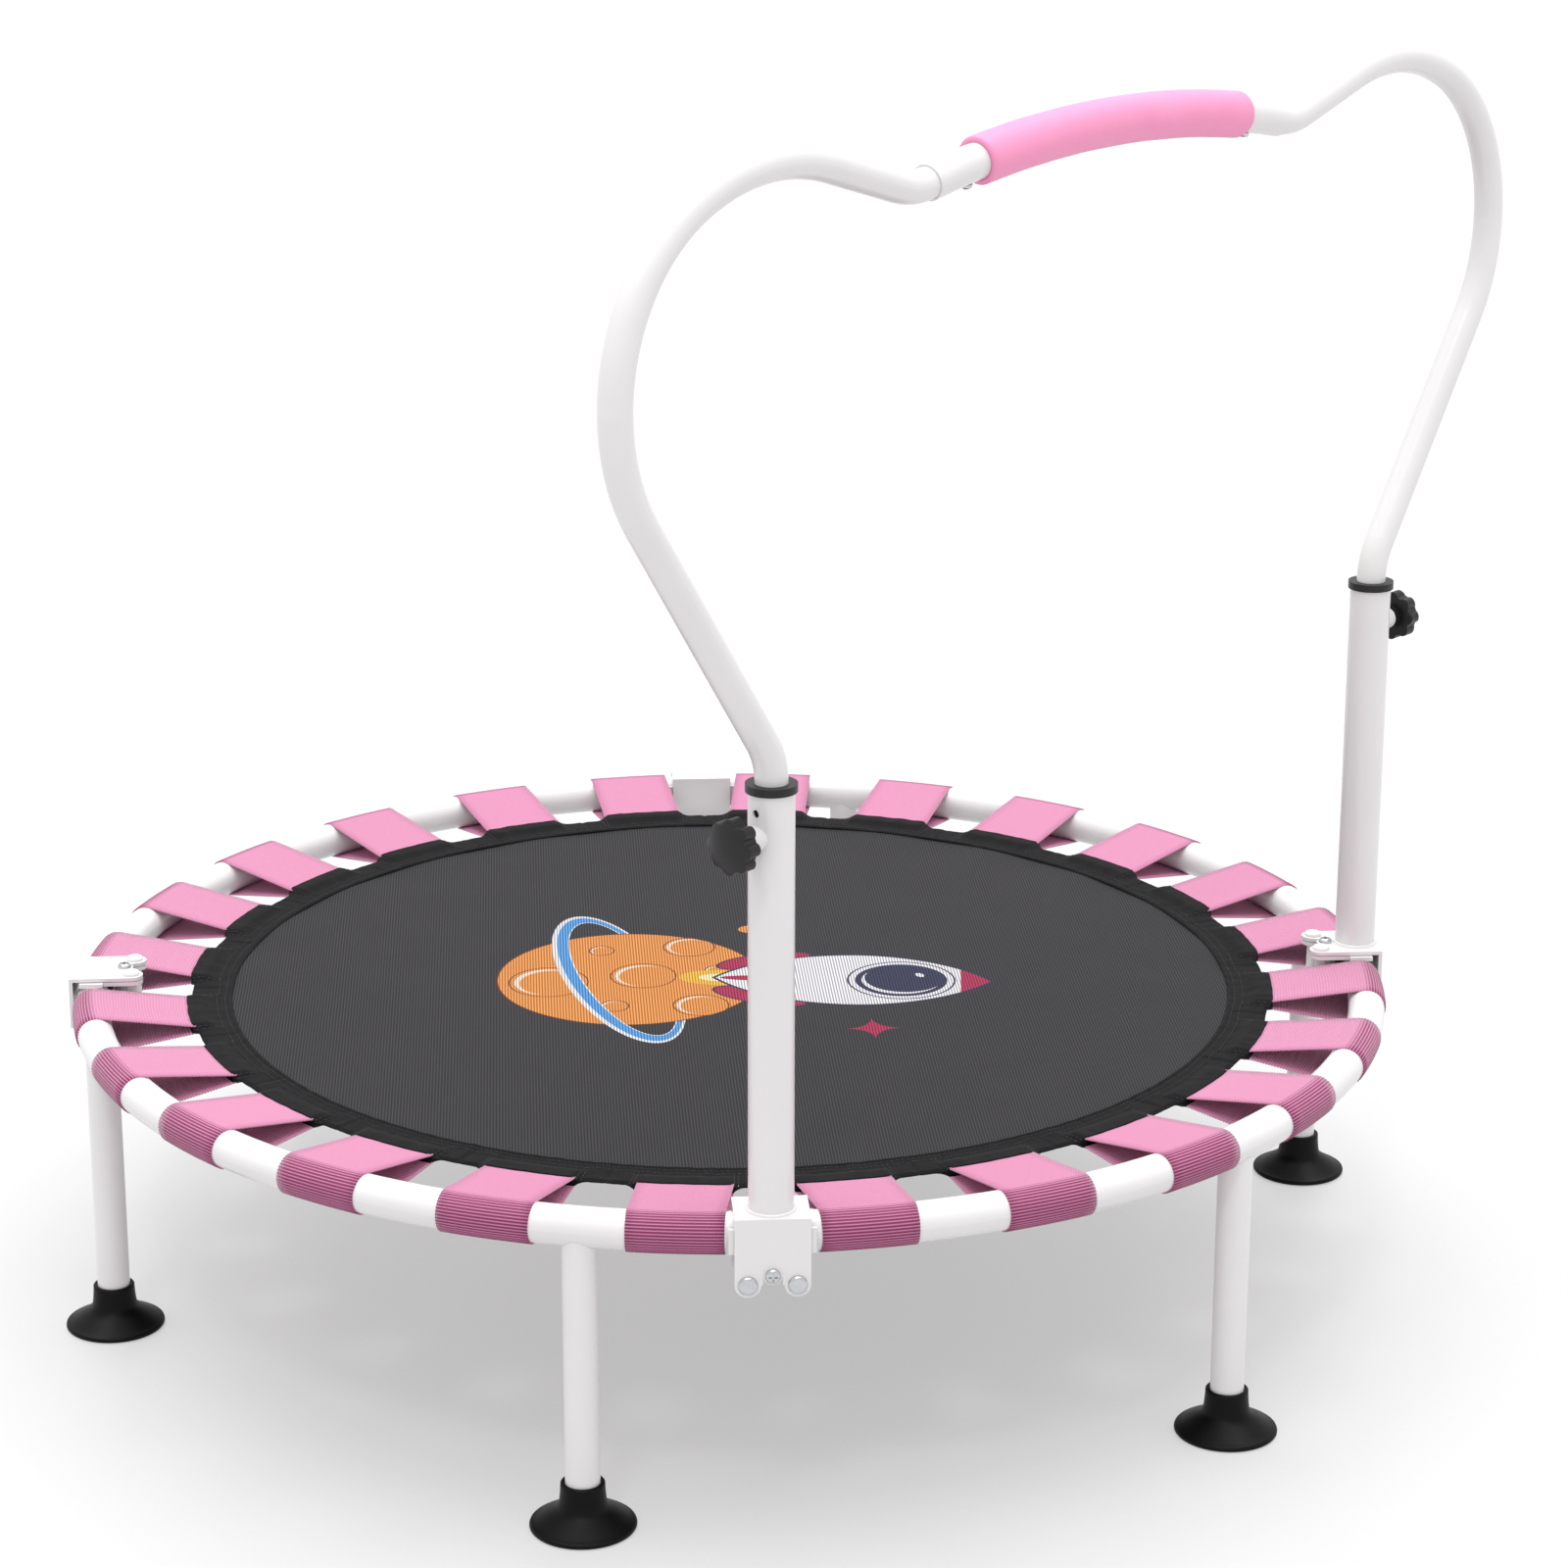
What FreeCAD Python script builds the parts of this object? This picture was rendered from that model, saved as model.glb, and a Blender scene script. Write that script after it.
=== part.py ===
"""Children's fold-in-half mini trampoline with a heart-shaped handle. Millimetres, +Z up.

The origin is on the floor under the centre of the ring. The handle stands on the -Y side, in a
plane parallel to X. Azimuths are degrees about +Z from +X, and the ring is four quarter tubes
joined by brackets at the front, right, back and left joints.
"""
import FreeCAD
import Part
import math
import os

# ring and its four joints
RING_RADIUS = 445.0
RING_TUBE_OD = 25.0
RING_TUBE_WALL = 1.5
RING_HEIGHT = 200.0
JOINT_AZIMUTH = {"front": -135.0, "right": -45.0, "back": 45.0, "left": 135.0}
SIDE_JOINTS = ("left", "right")

# hinge brackets: a sheet-metal channel over the joint, with one pin for each tube's lug
PIN_RADIUS = 4.0
PIN_SPACING = 30.0
PIN_DROP = 27.0
PIN_HEAD_RADIUS = 6.0
PIN_HEAD_HEIGHT = 2.8
LOBE_RADIUS = 8.0
BRACKET_SHEET = 2.5
BRACKET_TOP_GAP = 0.5
LUG_SHEET = 2.5
LUG_SIDE_GAP = 0.5
LUG_TUBE_GRIP = 0.08
LUG_NECK_INNER = 6.0
LUG_PAD_LENGTH = 12.5
LUG_PAD_HEIGHT = 16.0
RUNNING_FIT = 0.05
RING_CUT_ANGLE = 8.0

# locking screw across each bracket, in a sleeve welded between the side plates
SLEEVE_RADIUS = 6.0
SCREW_TO_UPRIGHT = 0.7
SCREW_RADIUS = 2.5
SCREW_HEAD_RADIUS = 4.8
SCREW_HEAD_HEIGHT = 3.0
RECESS_WIDTH = 1.2
RECESS_SPAN = 5.6
RECESS_DEPTH = 1.6
NUT_ACROSS_FLATS = 8.0
NUT_HEIGHT = 4.0

# legs and suction-cup feet
LEG_AZIMUTH = {
    "back_left_leg": 90.0,
    "left_leg": 150.0,
    "front_left_leg": -150.0,
    "front_right_leg": -92.0,
    "right_leg": -31.5,
    "back_right_leg": 30.0,
}
LEFT_LEGS = ("back_left_leg", "left_leg", "front_left_leg")
LEG_OD = 22.0
LEG_WALL = 1.2
SOCKET_DROP = 9.0
LEG_STUD_HALF_LENGTH = 16.0
LEG_FIT = 0.1
FOOT_DIAMETER = 67.0
FOOT_SLEEVE_WALL = 3.2
FOOT_SLEEVE_TOP = 30.0
FOOT_DOME_TOP = 12.0
FOOT_RIM_WIDTH = 2.2
FOOT_RIM_HEIGHT = 1.6
FOOT_CAVITY_TOP = 5.0
FOOT_SHOULDER_WIDTH = 4.0
FOOT_SHOULDER_FALL = 2.0
FOOT_SLEEVE_START = 3.0
FOOT_SLEEVE_TAPER = 0.4
LEG_BOTTOM = 9.0

# mat, hem and elastic straps
HEM_TO_RING = 64.0
HEM_WIDTH = 32.0
MAT_THICKNESS = 1.6
MAT_HEM_GAP = 0.2
POCKET_WALL = 0.5
POCKET_GAP = 0.16
POCKET_MOUTH = 5.0
POCKET_DEPTH = 10.5
HALF_GAP = 0.6
STRAPS_PER_TUBE = 6
STRAP_WIDTH = 60.0
STRAP_THICKNESS = 0.8
STRAP_TUBE_GAP = 0.25
STRAP_SIDE_GAP = 1.0
ROD_RADIUS = 1.5
ROD_INSET = 6.0
ROD_OVERLAP = 2.5
ROD_TO_FOLD = 0.43
STRAP_TO_LUG = 1.0

# uprights and clamp knobs
UPRIGHT_WALL = 1.5
UPRIGHT_TOP = 478.0
WELD_BEAD_RADIUS = 1.5
BUSHING_FLANGE_HEIGHT = 5.0
BUSHING_FLANGE_LIP = 1.6
BUSHING_SHANK = 25.0
BUSHING_WALL = 2.32
BUSHING_PRESS_GAP = 0.1
SLIDE_FIT = 0.08
KNOB_DROP = 26.0
SPARE_HOLE_RISE = 15.0
SPARE_HOLE_RADIUS = 2.5
STUD_RADIUS = 3.0
STUD_TIP_GAP = 0.35
STUD_HOLE_GAP = 0.2
WELD_NUT_RADIUS = 7.5
WELD_NUT_LENGTH = 8.0
KNOB_STANDOFF = 1.5
KNOB_HUB_RADIUS = 8.0
KNOB_HUB_LENGTH = 5.0
KNOB_RADIUS = 17.0
KNOB_THICKNESS = 13.0
KNOB_LOBES = 8
KNOB_LOBE_RADIUS = 4.2
KNOB_DOME_RADIUS = 34.0

# heart-shaped handle: two side tubes that plug into an arched crossbar
HANDLE_OD = 20.0
HANDLE_WALL = 1.2
HANDLE_INSERTION = 210.0
CROSSBAR_WALL = 1.1
CROSSBAR_FIT = 0.1
CROSSBAR_ARCH_RADIUS = 940.0
CROSSBAR_HALF_ANGLE = 10.9
PLUG_ANGLE = 3.6
DIP_RADIUS = 60.0
DIP_SLOPE = 17.0
LOBE_TOP_RADIUS = 150.0
LOBE_OVERHANG = 128.39
LOBE_SLOPE = 23.0
LOBE_RUN = 3.0
SIDE_RADIUS = 118.0
SIDE_LEAN = 34.6
SHOULDER_RADIUS = 45.0
SHOULDER_RISE = 0.5
GRIP_OD = 30.0
GRIP_LENGTH = 266.0
GRIP_GAP = 0.15
CROSSBAR_SCREW_X = 143.0
CROSSBAR_SCREW_RADIUS = 2.0
CROSSBAR_SCREW_LENGTH = 7.0
CROSSBAR_SCREW_HEAD_RADIUS = 3.6
CROSSBAR_SCREW_HEAD_HEIGHT = 2.8
GUIDE_LENGTH = 20.0
GUIDE_GAP = 0.15

# sizes that follow from the ones above
TUBE_RADIUS = RING_TUBE_OD / 2
PIN_OFFSET = PIN_SPACING / 2
LUG_HALF_WIDTH = TUBE_RADIUS + LUG_SHEET
BRACKET_INNER = LUG_HALF_WIDTH + LUG_SIDE_GAP
BRACKET_OUTER = BRACKET_INNER + BRACKET_SHEET
BRACKET_WEB = TUBE_RADIUS + BRACKET_TOP_GAP
BRACKET_HALF_LENGTH = PIN_OFFSET + LOBE_RADIUS
TUBE_END = PIN_OFFSET - 1.0
TUBE_END_BOW = RING_RADIUS - math.sqrt(RING_RADIUS**2 - TUBE_END**2)
HANDLE_RADIUS = HANDLE_OD / 2
BUSHING_RADIUS = HANDLE_RADIUS + SLIDE_FIT + BUSHING_WALL
UPRIGHT_RADIUS = BUSHING_RADIUS + BUSHING_PRESS_GAP + UPRIGHT_WALL
UPRIGHT_OD = 2 * UPRIGHT_RADIUS
UPRIGHT_X = RING_RADIUS * math.cos(math.radians(JOINT_AZIMUTH["right"]))
UPRIGHT_Y = RING_RADIUS * math.sin(math.radians(JOINT_AZIMUTH["right"]))
KNOB_Z = UPRIGHT_TOP - KNOB_DROP
SLEEVE_Z = -UPRIGHT_RADIUS - WELD_BEAD_RADIUS - SCREW_TO_UPRIGHT - SCREW_HEAD_RADIUS
CROSSBAR_RADIUS = HANDLE_RADIUS + CROSSBAR_FIT + CROSSBAR_WALL
HEM_RADIUS = RING_RADIUS - HEM_TO_RING
ROD_CIRCLE = HEM_RADIUS - ROD_INSET
RING_LOOP_RADIUS = TUBE_RADIUS + STRAP_TUBE_GAP
ROD_LOOP_RADIUS = ROD_RADIUS + STRAP_TUBE_GAP
ROD_REACH = STRAP_WIDTH / 2 + STRAP_SIDE_GAP + ROD_OVERLAP
STRAP_FLARE = math.asin((RING_LOOP_RADIUS - ROD_LOOP_RADIUS) / (RING_RADIUS - ROD_CIRCLE))

# the closing seam of a bent tube's section is turned this far, clear of the screw holes
SEAM_TURN = 90.0

ORIGIN = FreeCAD.Vector(0, 0, 0)
X_AXIS = FreeCAD.Vector(1, 0, 0)
Y_AXIS = FreeCAD.Vector(0, 1, 0)
Z_AXIS = FreeCAD.Vector(0, 0, 1)


def vector(x, y, z):
    return FreeCAD.Vector(x, y, z)


def cylinder(radius, start, direction, length):
    return Part.makeCylinder(radius, length, start, direction)


def box(x0, x1, y0, y1, z0, z1):
    return Part.makeBox(x1 - x0, y1 - y0, z1 - z0, vector(x0, y0, z0))


def tube(outer, inner, start, direction, length):
    return cylinder(outer, start, direction, length).cut(cylinder(inner, start, direction, length))


def turned(shape, axis, degrees):
    copy = shape.copy()
    copy.rotate(ORIGIN, axis, degrees)
    return copy


def moved(shape, x, y, z):
    copy = shape.copy()
    copy.translate(vector(x, y, z))
    return copy


def hexagon(across_flats, start, length):
    """A hexagonal bar along +X from start."""
    corner = across_flats / math.sqrt(3)
    angles = [math.radians(60 * k) for k in range(7)]
    points = [start + vector(0, corner * math.cos(a), corner * math.sin(a)) for a in angles]
    return Part.Face(Part.makePolygon(points)).extrude(vector(length, 0, 0))


def revolved(points):
    """A solid of revolution about Z from (radius, height) points."""
    corners = [vector(r, 0, z) for r, z in points]
    return Part.Face(Part.makePolygon(corners + corners[:1])).revolve(ORIGIN, Z_AXIS, 360)


def to_ring(shape, azimuth):
    """Carry a shape from the frame of one ring station (X outward, Y along the ring) to the ring."""
    return turned(moved(shape, RING_RADIUS, 0, RING_HEIGHT), Z_AXIS, azimuth)


def save(name, shapes):
    shape = shapes[0] if len(shapes) == 1 else Part.makeCompound(shapes)
    if not shape.isValid():
        raise ValueError(name + " is not valid")
    shape.exportStep("parts/" + name + ".step")


# ---------------------------------------------------------------- ring tubes

def ring_sector(radius, start, end):
    """A solid bar of the given radius along the ring's centreline between two azimuths."""
    circle = Part.makeCircle(radius, vector(RING_RADIUS, 0, RING_HEIGHT), Y_AXIS)
    section = turned(Part.Face(Part.Wire(circle)), Z_AXIS, start)
    return section.revolve(ORIGIN, Z_AXIS, end - start)


def ring_tube(start_joint):
    """A quarter of the ring, from one joint to the next."""
    end_angle = math.degrees(math.asin(TUBE_END / RING_RADIUS))
    start = JOINT_AZIMUTH[start_joint] + end_angle
    end = JOINT_AZIMUTH[start_joint] + 90 - end_angle
    inner = TUBE_RADIUS - RING_TUBE_WALL
    return ring_sector(TUBE_RADIUS, start, end).cut(ring_sector(inner, start, end))


# ---------------------------------------------------------------- hinge brackets
# A bracket is drawn opening downwards, with Y along the tubes and X across them, the tubes' axis
# being its origin. The left and right brackets are the same channel turned to open inwards.

def side_plate_outline():
    """The channel's side profile: a plate with two pin lobes and a notch for the sleeve."""
    top = BRACKET_WEB + BRACKET_SHEET
    width = 2 * BRACKET_OUTER
    left = -BRACKET_OUTER
    plate = box(left, left + width, -BRACKET_HALF_LENGTH, BRACKET_HALF_LENGTH, -PIN_DROP, top)
    for side in (-1, 1):
        centre = vector(left, side * PIN_OFFSET, -PIN_DROP)
        plate = plate.fuse(cylinder(LOBE_RADIUS, centre, X_AXIS, width))
    notch_radius = SLEEVE_RADIUS + RUNNING_FIT
    notch = cylinder(notch_radius, vector(left, 0, SLEEVE_Z), X_AXIS, width)
    slot_bottom = -PIN_DROP - LOBE_RADIUS
    slot = box(left, left + width, -notch_radius, notch_radius, slot_bottom, SLEEVE_Z)
    return plate.cut(notch.fuse(slot))


def bracket():
    hollow_bottom = -PIN_DROP - LOBE_RADIUS - 1
    hollow_end = BRACKET_HALF_LENGTH + 1
    hollow = box(-BRACKET_INNER, BRACKET_INNER, -hollow_end, hollow_end, hollow_bottom, BRACKET_WEB)
    channel = side_plate_outline().cut(hollow)
    for side in (-1, 1):
        start = vector(-BRACKET_OUTER, side * PIN_OFFSET, -PIN_DROP)
        hole = cylinder(PIN_RADIUS + RUNNING_FIT, start, X_AXIS, 2 * BRACKET_OUTER)
        channel = channel.cut(hole)
    return channel.removeSplitter()


def domed_head(radius, height, start, direction):
    head = cylinder(radius, start, direction, height)
    far = start + direction * height
    rims = [e for e in head.Edges if e.Closed and (e.CenterOfMass - far).Length < 0.01]
    return head.makeFillet(0.8 * height, rims)


def hinge_pins():
    """The two riveted pins of a bracket, domed at both ends."""
    pins = []
    for side in (-1, 1):
        start = vector(-BRACKET_OUTER, side * PIN_OFFSET, -PIN_DROP)
        far = start + X_AXIS * (2 * BRACKET_OUTER)
        pin = cylinder(PIN_RADIUS, start, X_AXIS, 2 * BRACKET_OUTER)
        pin = pin.fuse(domed_head(PIN_HEAD_RADIUS, PIN_HEAD_HEIGHT, start, -X_AXIS))
        pin = pin.fuse(domed_head(PIN_HEAD_RADIUS, PIN_HEAD_HEIGHT, far, X_AXIS))
        pins.append(pin.removeSplitter())
    return pins


def screw_sleeve():
    start = vector(-BRACKET_OUTER, 0, SLEEVE_Z)
    return tube(SLEEVE_RADIUS, SCREW_RADIUS + RUNNING_FIT, start, X_AXIS, 2 * BRACKET_OUTER)


def lock_screw():
    """A pan-head screw with a cross recess, head on the +X side."""
    length = 2 * BRACKET_OUTER + NUT_HEIGHT + 1
    seat = vector(BRACKET_OUTER, 0, SLEEVE_Z)
    shank = cylinder(SCREW_RADIUS, seat, -X_AXIS, length)
    screw = shank.fuse(domed_head(SCREW_HEAD_RADIUS, SCREW_HEAD_HEIGHT, seat, X_AXIS))
    top = BRACKET_OUTER + SCREW_HEAD_HEIGHT
    half_width = RECESS_WIDTH / 2
    half_span = RECESS_SPAN / 2
    for y, z in ((half_width, half_span), (half_span, half_width)):
        screw = screw.cut(box(top - RECESS_DEPTH, top + 1, -y, y, SLEEVE_Z - z, SLEEVE_Z + z))
    return screw


def lock_nut():
    start = vector(-BRACKET_OUTER - NUT_HEIGHT, 0, SLEEVE_Z)
    bore = cylinder(SCREW_RADIUS + RUNNING_FIT, start, X_AXIS, NUT_HEIGHT)
    return hexagon(NUT_ACROSS_FLATS, start, NUT_HEIGHT).cut(bore)


def lug(side):
    """The two cheeks that carry one tube on its pin; side is +1 or -1 along Y."""
    cheeks = []
    for face in (-1, 1):
        inner = face * (TUBE_RADIUS - TUBE_END_BOW - LUG_TUBE_GRIP)
        outer = face * LUG_HALF_WIDTH
        x0 = min(inner, outer)
        x1 = max(inner, outer)
        pin_y = side * PIN_OFFSET
        neck = sorted((pin_y - side * LUG_NECK_INNER, pin_y + side * LOBE_RADIUS))
        pad = sorted((side * TUBE_END, side * (TUBE_END + LUG_PAD_LENGTH)))
        pad_top = LUG_PAD_HEIGHT / 2
        cheek = cylinder(LOBE_RADIUS, vector(x0, pin_y, -PIN_DROP), X_AXIS, x1 - x0)
        cheek = cheek.fuse(box(x0, x1, neck[0], neck[1], -PIN_DROP, -pad_top))
        cheek = cheek.fuse(box(x0, x1, pad[0], pad[1], -pad_top, pad_top))
        hole = cylinder(PIN_RADIUS + RUNNING_FIT, vector(x0, pin_y, -PIN_DROP), X_AXIS, x1 - x0)
        cheeks.append(cheek.cut(hole).removeSplitter())
    return cheeks


def at_joint(shape, joint):
    """Carry a bracket piece to its joint, turned to open inwards at the left and right joints."""
    if joint in SIDE_JOINTS:
        shape = turned(turned(shape, Z_AXIS, 180), Y_AXIS, 90)
    return to_ring(shape, JOINT_AZIMUTH[joint])


def lugs_at(joint, side):
    """The cheeks at one side of a joint, hollowed to hug the tube that they are welded to."""
    drawn_side = -side if joint in SIDE_JOINTS else side
    azimuth = JOINT_AZIMUTH[joint]
    bar = ring_sector(TUBE_RADIUS, azimuth - RING_CUT_ANGLE, azimuth + RING_CUT_ANGLE)
    return [at_joint(cheek, joint).cut(bar) for cheek in lug(drawn_side)]


# ---------------------------------------------------------------- legs and feet

def leg_point(azimuth, height):
    return turned(Part.Vertex(RING_RADIUS, 0, height), Z_AXIS, azimuth).Point


def leg_socket(azimuth):
    """A stub welded under the ring tube, open downwards for the leg's stud."""
    seam = RING_HEIGHT - TUBE_RADIUS - SOCKET_DROP
    top = RING_HEIGHT - TUBE_RADIUS / 2
    inner = LEG_OD / 2 - LEG_WALL
    stub = tube(LEG_OD / 2, inner, leg_point(azimuth, seam), Z_AXIS, top - seam)
    bar = ring_sector(TUBE_RADIUS, azimuth - RING_CUT_ANGLE, azimuth + RING_CUT_ANGLE)
    return stub.cut(bar)


def leg_stud(azimuth):
    """The threaded plug that joins a leg to its socket."""
    seam = RING_HEIGHT - TUBE_RADIUS - SOCKET_DROP
    radius = LEG_OD / 2 - LEG_WALL - LEG_FIT
    above = SOCKET_DROP - 1
    start = leg_point(azimuth, seam - LEG_STUD_HALF_LENGTH)
    return cylinder(radius, start, Z_AXIS, LEG_STUD_HALF_LENGTH + above)


def leg(azimuth):
    seam = RING_HEIGHT - TUBE_RADIUS - SOCKET_DROP
    inner = LEG_OD / 2 - LEG_WALL
    return tube(LEG_OD / 2, inner, leg_point(azimuth, LEG_BOTTOM), Z_AXIS, seam - LEG_BOTTOM)


def foot(azimuth):
    """A rubber suction cup whose sleeve takes the end of the leg."""
    rim = FOOT_DIAMETER / 2
    bore = LEG_OD / 2 + LEG_FIT
    sleeve = bore + FOOT_SLEEVE_WALL
    shoulder = sleeve + FOOT_SHOULDER_WIDTH
    outline = [
        (0, FOOT_CAVITY_TOP),
        (LEG_OD / 2, FOOT_CAVITY_TOP),
        (rim - FOOT_RIM_WIDTH, 0),
        (rim, 0),
        (rim, FOOT_RIM_HEIGHT),
        (shoulder, FOOT_DOME_TOP - FOOT_SHOULDER_FALL),
        (sleeve, FOOT_DOME_TOP + FOOT_SLEEVE_START),
        (sleeve - FOOT_SLEEVE_TAPER, FOOT_SLEEVE_TOP),
        (bore, FOOT_SLEEVE_TOP),
        (bore, LEG_BOTTOM),
        (0, LEG_BOTTOM),
    ]
    centre = leg_point(azimuth, 0)
    return moved(revolved(outline), centre.x, centre.y, 0)


# ---------------------------------------------------------------- mat, hem and straps

def half_space(side, gap):
    """Everything on one side of the fold; side -1 is the half that folds, +1 the one that stays."""
    reach = RING_RADIUS * 2
    fold = -PIN_OFFSET + side * gap / 2
    across = (fold, reach) if side > 0 else (-reach, fold)
    block = box(across[0], across[1], -reach, reach, 0, reach)
    return turned(block, Z_AXIS, JOINT_AZIMUTH["right"])


def angle_clear_of(distance, radius, half_width):
    """How far round a crosswise piece sits for its near end to clear the joint's middle line."""
    corner = math.hypot(radius, half_width)
    return math.degrees(math.atan(half_width / radius) + math.asin(distance / corner))


def strap_azimuths(joint):
    """Evenly spread over a quarter; the end straps clear the fold at the rods and the lugs."""
    fold_edge = PIN_OFFSET + HALF_GAP / 2 + ROD_TO_FOLD
    lug_edge = TUBE_END + LUG_PAD_LENGTH + STRAP_TO_LUG
    first = max(
        angle_clear_of(fold_edge, ROD_CIRCLE, ROD_REACH),
        angle_clear_of(lug_edge, RING_RADIUS, STRAP_WIDTH / 2),
    )
    pitch = (90 - 2 * first) / (STRAPS_PER_TUBE - 1)
    return [JOINT_AZIMUTH[joint] + first + pitch * k for k in range(STRAPS_PER_TUBE)]


def mat(side):
    radius = HEM_RADIUS - HEM_WIDTH - MAT_HEM_GAP
    start = vector(0, 0, RING_HEIGHT - MAT_THICKNESS / 2)
    return cylinder(radius, start, Z_AXIS, MAT_THICKNESS).common(half_space(side, HALF_GAP))


def pocket_half_height():
    """Room above the rods' plane for a strap, which flares on its way out of the hem."""
    spread = ROD_LOOP_RADIUS + STRAP_THICKNESS + ROD_INSET * math.sin(STRAP_FLARE)
    return spread / math.cos(STRAP_FLARE) + POCKET_GAP


def hem(side, joints):
    """The folded tape round the mat, with a pocket for each rod and strap end."""
    half_height = pocket_half_height()
    half_thickness = half_height + POCKET_WALL
    bottom = vector(0, 0, RING_HEIGHT - half_thickness)
    band = tube(HEM_RADIUS, HEM_RADIUS - HEM_WIDTH, bottom, Z_AXIS, 2 * half_thickness)
    band = band.common(half_space(side, HALF_GAP))
    half_width = STRAP_WIDTH / 2 + STRAP_SIDE_GAP
    back = HEM_RADIUS - POCKET_DEPTH
    mouth = HEM_RADIUS + POCKET_MOUTH
    z = RING_HEIGHT
    pocket = box(back, mouth, -half_width, half_width, z - half_height, z + half_height)
    bore = rod(ROD_RADIUS + LEG_FIT, LEG_FIT)
    cutter = pocket.fuse(bore)
    for joint in joints:
        for azimuth in strap_azimuths(joint):
            band = band.cut(turned(cutter, Z_AXIS, azimuth))
    return band


def rod(radius, extra):
    half_length = ROD_REACH + extra
    return cylinder(radius, vector(ROD_CIRCLE, -half_length, RING_HEIGHT), Y_AXIS, 2 * half_length)


def loop_profile(ring_side, rod_side):
    """The area inside a belt round the ring tube and a hem rod, drawn in the XZ plane."""
    sine = math.sin(STRAP_FLARE)
    cosine = math.cos(STRAP_FLARE)
    ring = vector(RING_RADIUS, 0, RING_HEIGHT)
    inner = vector(ROD_CIRCLE, 0, RING_HEIGHT)
    up = vector(-sine, 0, cosine)
    down = vector(-sine, 0, -cosine)
    ring_top = ring + up * ring_side
    ring_bottom = ring + down * ring_side
    rod_top = inner + up * rod_side
    rod_bottom = inner + down * rod_side
    edges = [
        Part.LineSegment(rod_top, ring_top).toShape(),
        Part.Arc(ring_top, ring + X_AXIS * ring_side, ring_bottom).toShape(),
        Part.LineSegment(ring_bottom, rod_bottom).toShape(),
        Part.Arc(rod_bottom, inner - X_AXIS * rod_side, rod_top).toShape(),
    ]
    return Part.Face(Part.Wire(edges))


def strap():
    """A closed loop of elastic webbing round the ring tube and one hem rod."""
    width = vector(0, STRAP_WIDTH, 0)
    inner = loop_profile(RING_LOOP_RADIUS, ROD_LOOP_RADIUS).extrude(width)
    outer = loop_profile(RING_LOOP_RADIUS + STRAP_THICKNESS, ROD_LOOP_RADIUS + STRAP_THICKNESS)
    outer = outer.extrude(width)
    return moved(outer.cut(inner), 0, -STRAP_WIDTH / 2, 0)


# ---------------------------------------------------------------- uprights and knobs
# Both uprights are drawn for the right joint and mirrored for the front joint.

def mirrored(shape):
    return shape.mirror(ORIGIN, X_AXIS)


def on_upright_axis(z):
    return vector(UPRIGHT_X, UPRIGHT_Y, z)


def spare_hole():
    start = on_upright_axis(KNOB_Z + SPARE_HOLE_RISE)
    return cylinder(SPARE_HOLE_RADIUS, start, X_AXIS, UPRIGHT_OD)


def upright(base):
    inner = UPRIGHT_RADIUS - UPRIGHT_WALL
    post = tube(UPRIGHT_RADIUS, inner, on_upright_axis(base), Z_AXIS, UPRIGHT_TOP - base)
    bead = Part.makeTorus(UPRIGHT_RADIUS, WELD_BEAD_RADIUS, on_upright_axis(base))
    bead = bead.cut(cylinder(UPRIGHT_OD, on_upright_axis(base - UPRIGHT_OD), Z_AXIS, UPRIGHT_OD))
    bead = bead.cut(cylinder(inner, on_upright_axis(base), Z_AXIS, UPRIGHT_OD))
    post = post.fuse(bead).removeSplitter()
    stud_hole = cylinder(STUD_RADIUS + STUD_HOLE_GAP, on_upright_axis(KNOB_Z), X_AXIS, UPRIGHT_OD)
    return post.cut(stud_hole).cut(spare_hole())


def upright_bushing():
    """The plastic collar that guides the handle in the top of an upright."""
    bore = HANDLE_RADIUS + SLIDE_FIT
    shank_bottom = on_upright_axis(UPRIGHT_TOP - BUSHING_SHANK)
    body = cylinder(BUSHING_RADIUS, shank_bottom, Z_AXIS, BUSHING_SHANK)
    flange_radius = UPRIGHT_RADIUS + BUSHING_FLANGE_LIP
    flange = cylinder(flange_radius, on_upright_axis(UPRIGHT_TOP), Z_AXIS, BUSHING_FLANGE_HEIGHT)
    body = body.fuse(flange).removeSplitter()
    body = body.cut(cylinder(bore, shank_bottom, Z_AXIS, BUSHING_SHANK + BUSHING_FLANGE_HEIGHT))
    stud_hole = cylinder(STUD_RADIUS + STUD_HOLE_GAP, on_upright_axis(KNOB_Z), X_AXIS, UPRIGHT_OD)
    return body.cut(stud_hole).cut(spare_hole())


def weld_nut():
    start = on_upright_axis(KNOB_Z)
    end = UPRIGHT_RADIUS + WELD_NUT_LENGTH
    body = cylinder(WELD_NUT_RADIUS, start, X_AXIS, end)
    body = body.cut(cylinder(UPRIGHT_RADIUS, on_upright_axis(0), Z_AXIS, UPRIGHT_TOP))
    return body.cut(cylinder(STUD_RADIUS + RUNNING_FIT, start, X_AXIS, end))


def knob_start():
    return UPRIGHT_RADIUS + WELD_NUT_LENGTH + KNOB_STANDOFF


def knob_stud():
    """The stud that the knob screws in against the handle's tube."""
    tip = HANDLE_RADIUS + STUD_TIP_GAP
    end = knob_start() + KNOB_HUB_LENGTH + KNOB_THICKNESS / 2
    return cylinder(STUD_RADIUS, on_upright_axis(KNOB_Z) + X_AXIS * tip, X_AXIS, end - tip)


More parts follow.
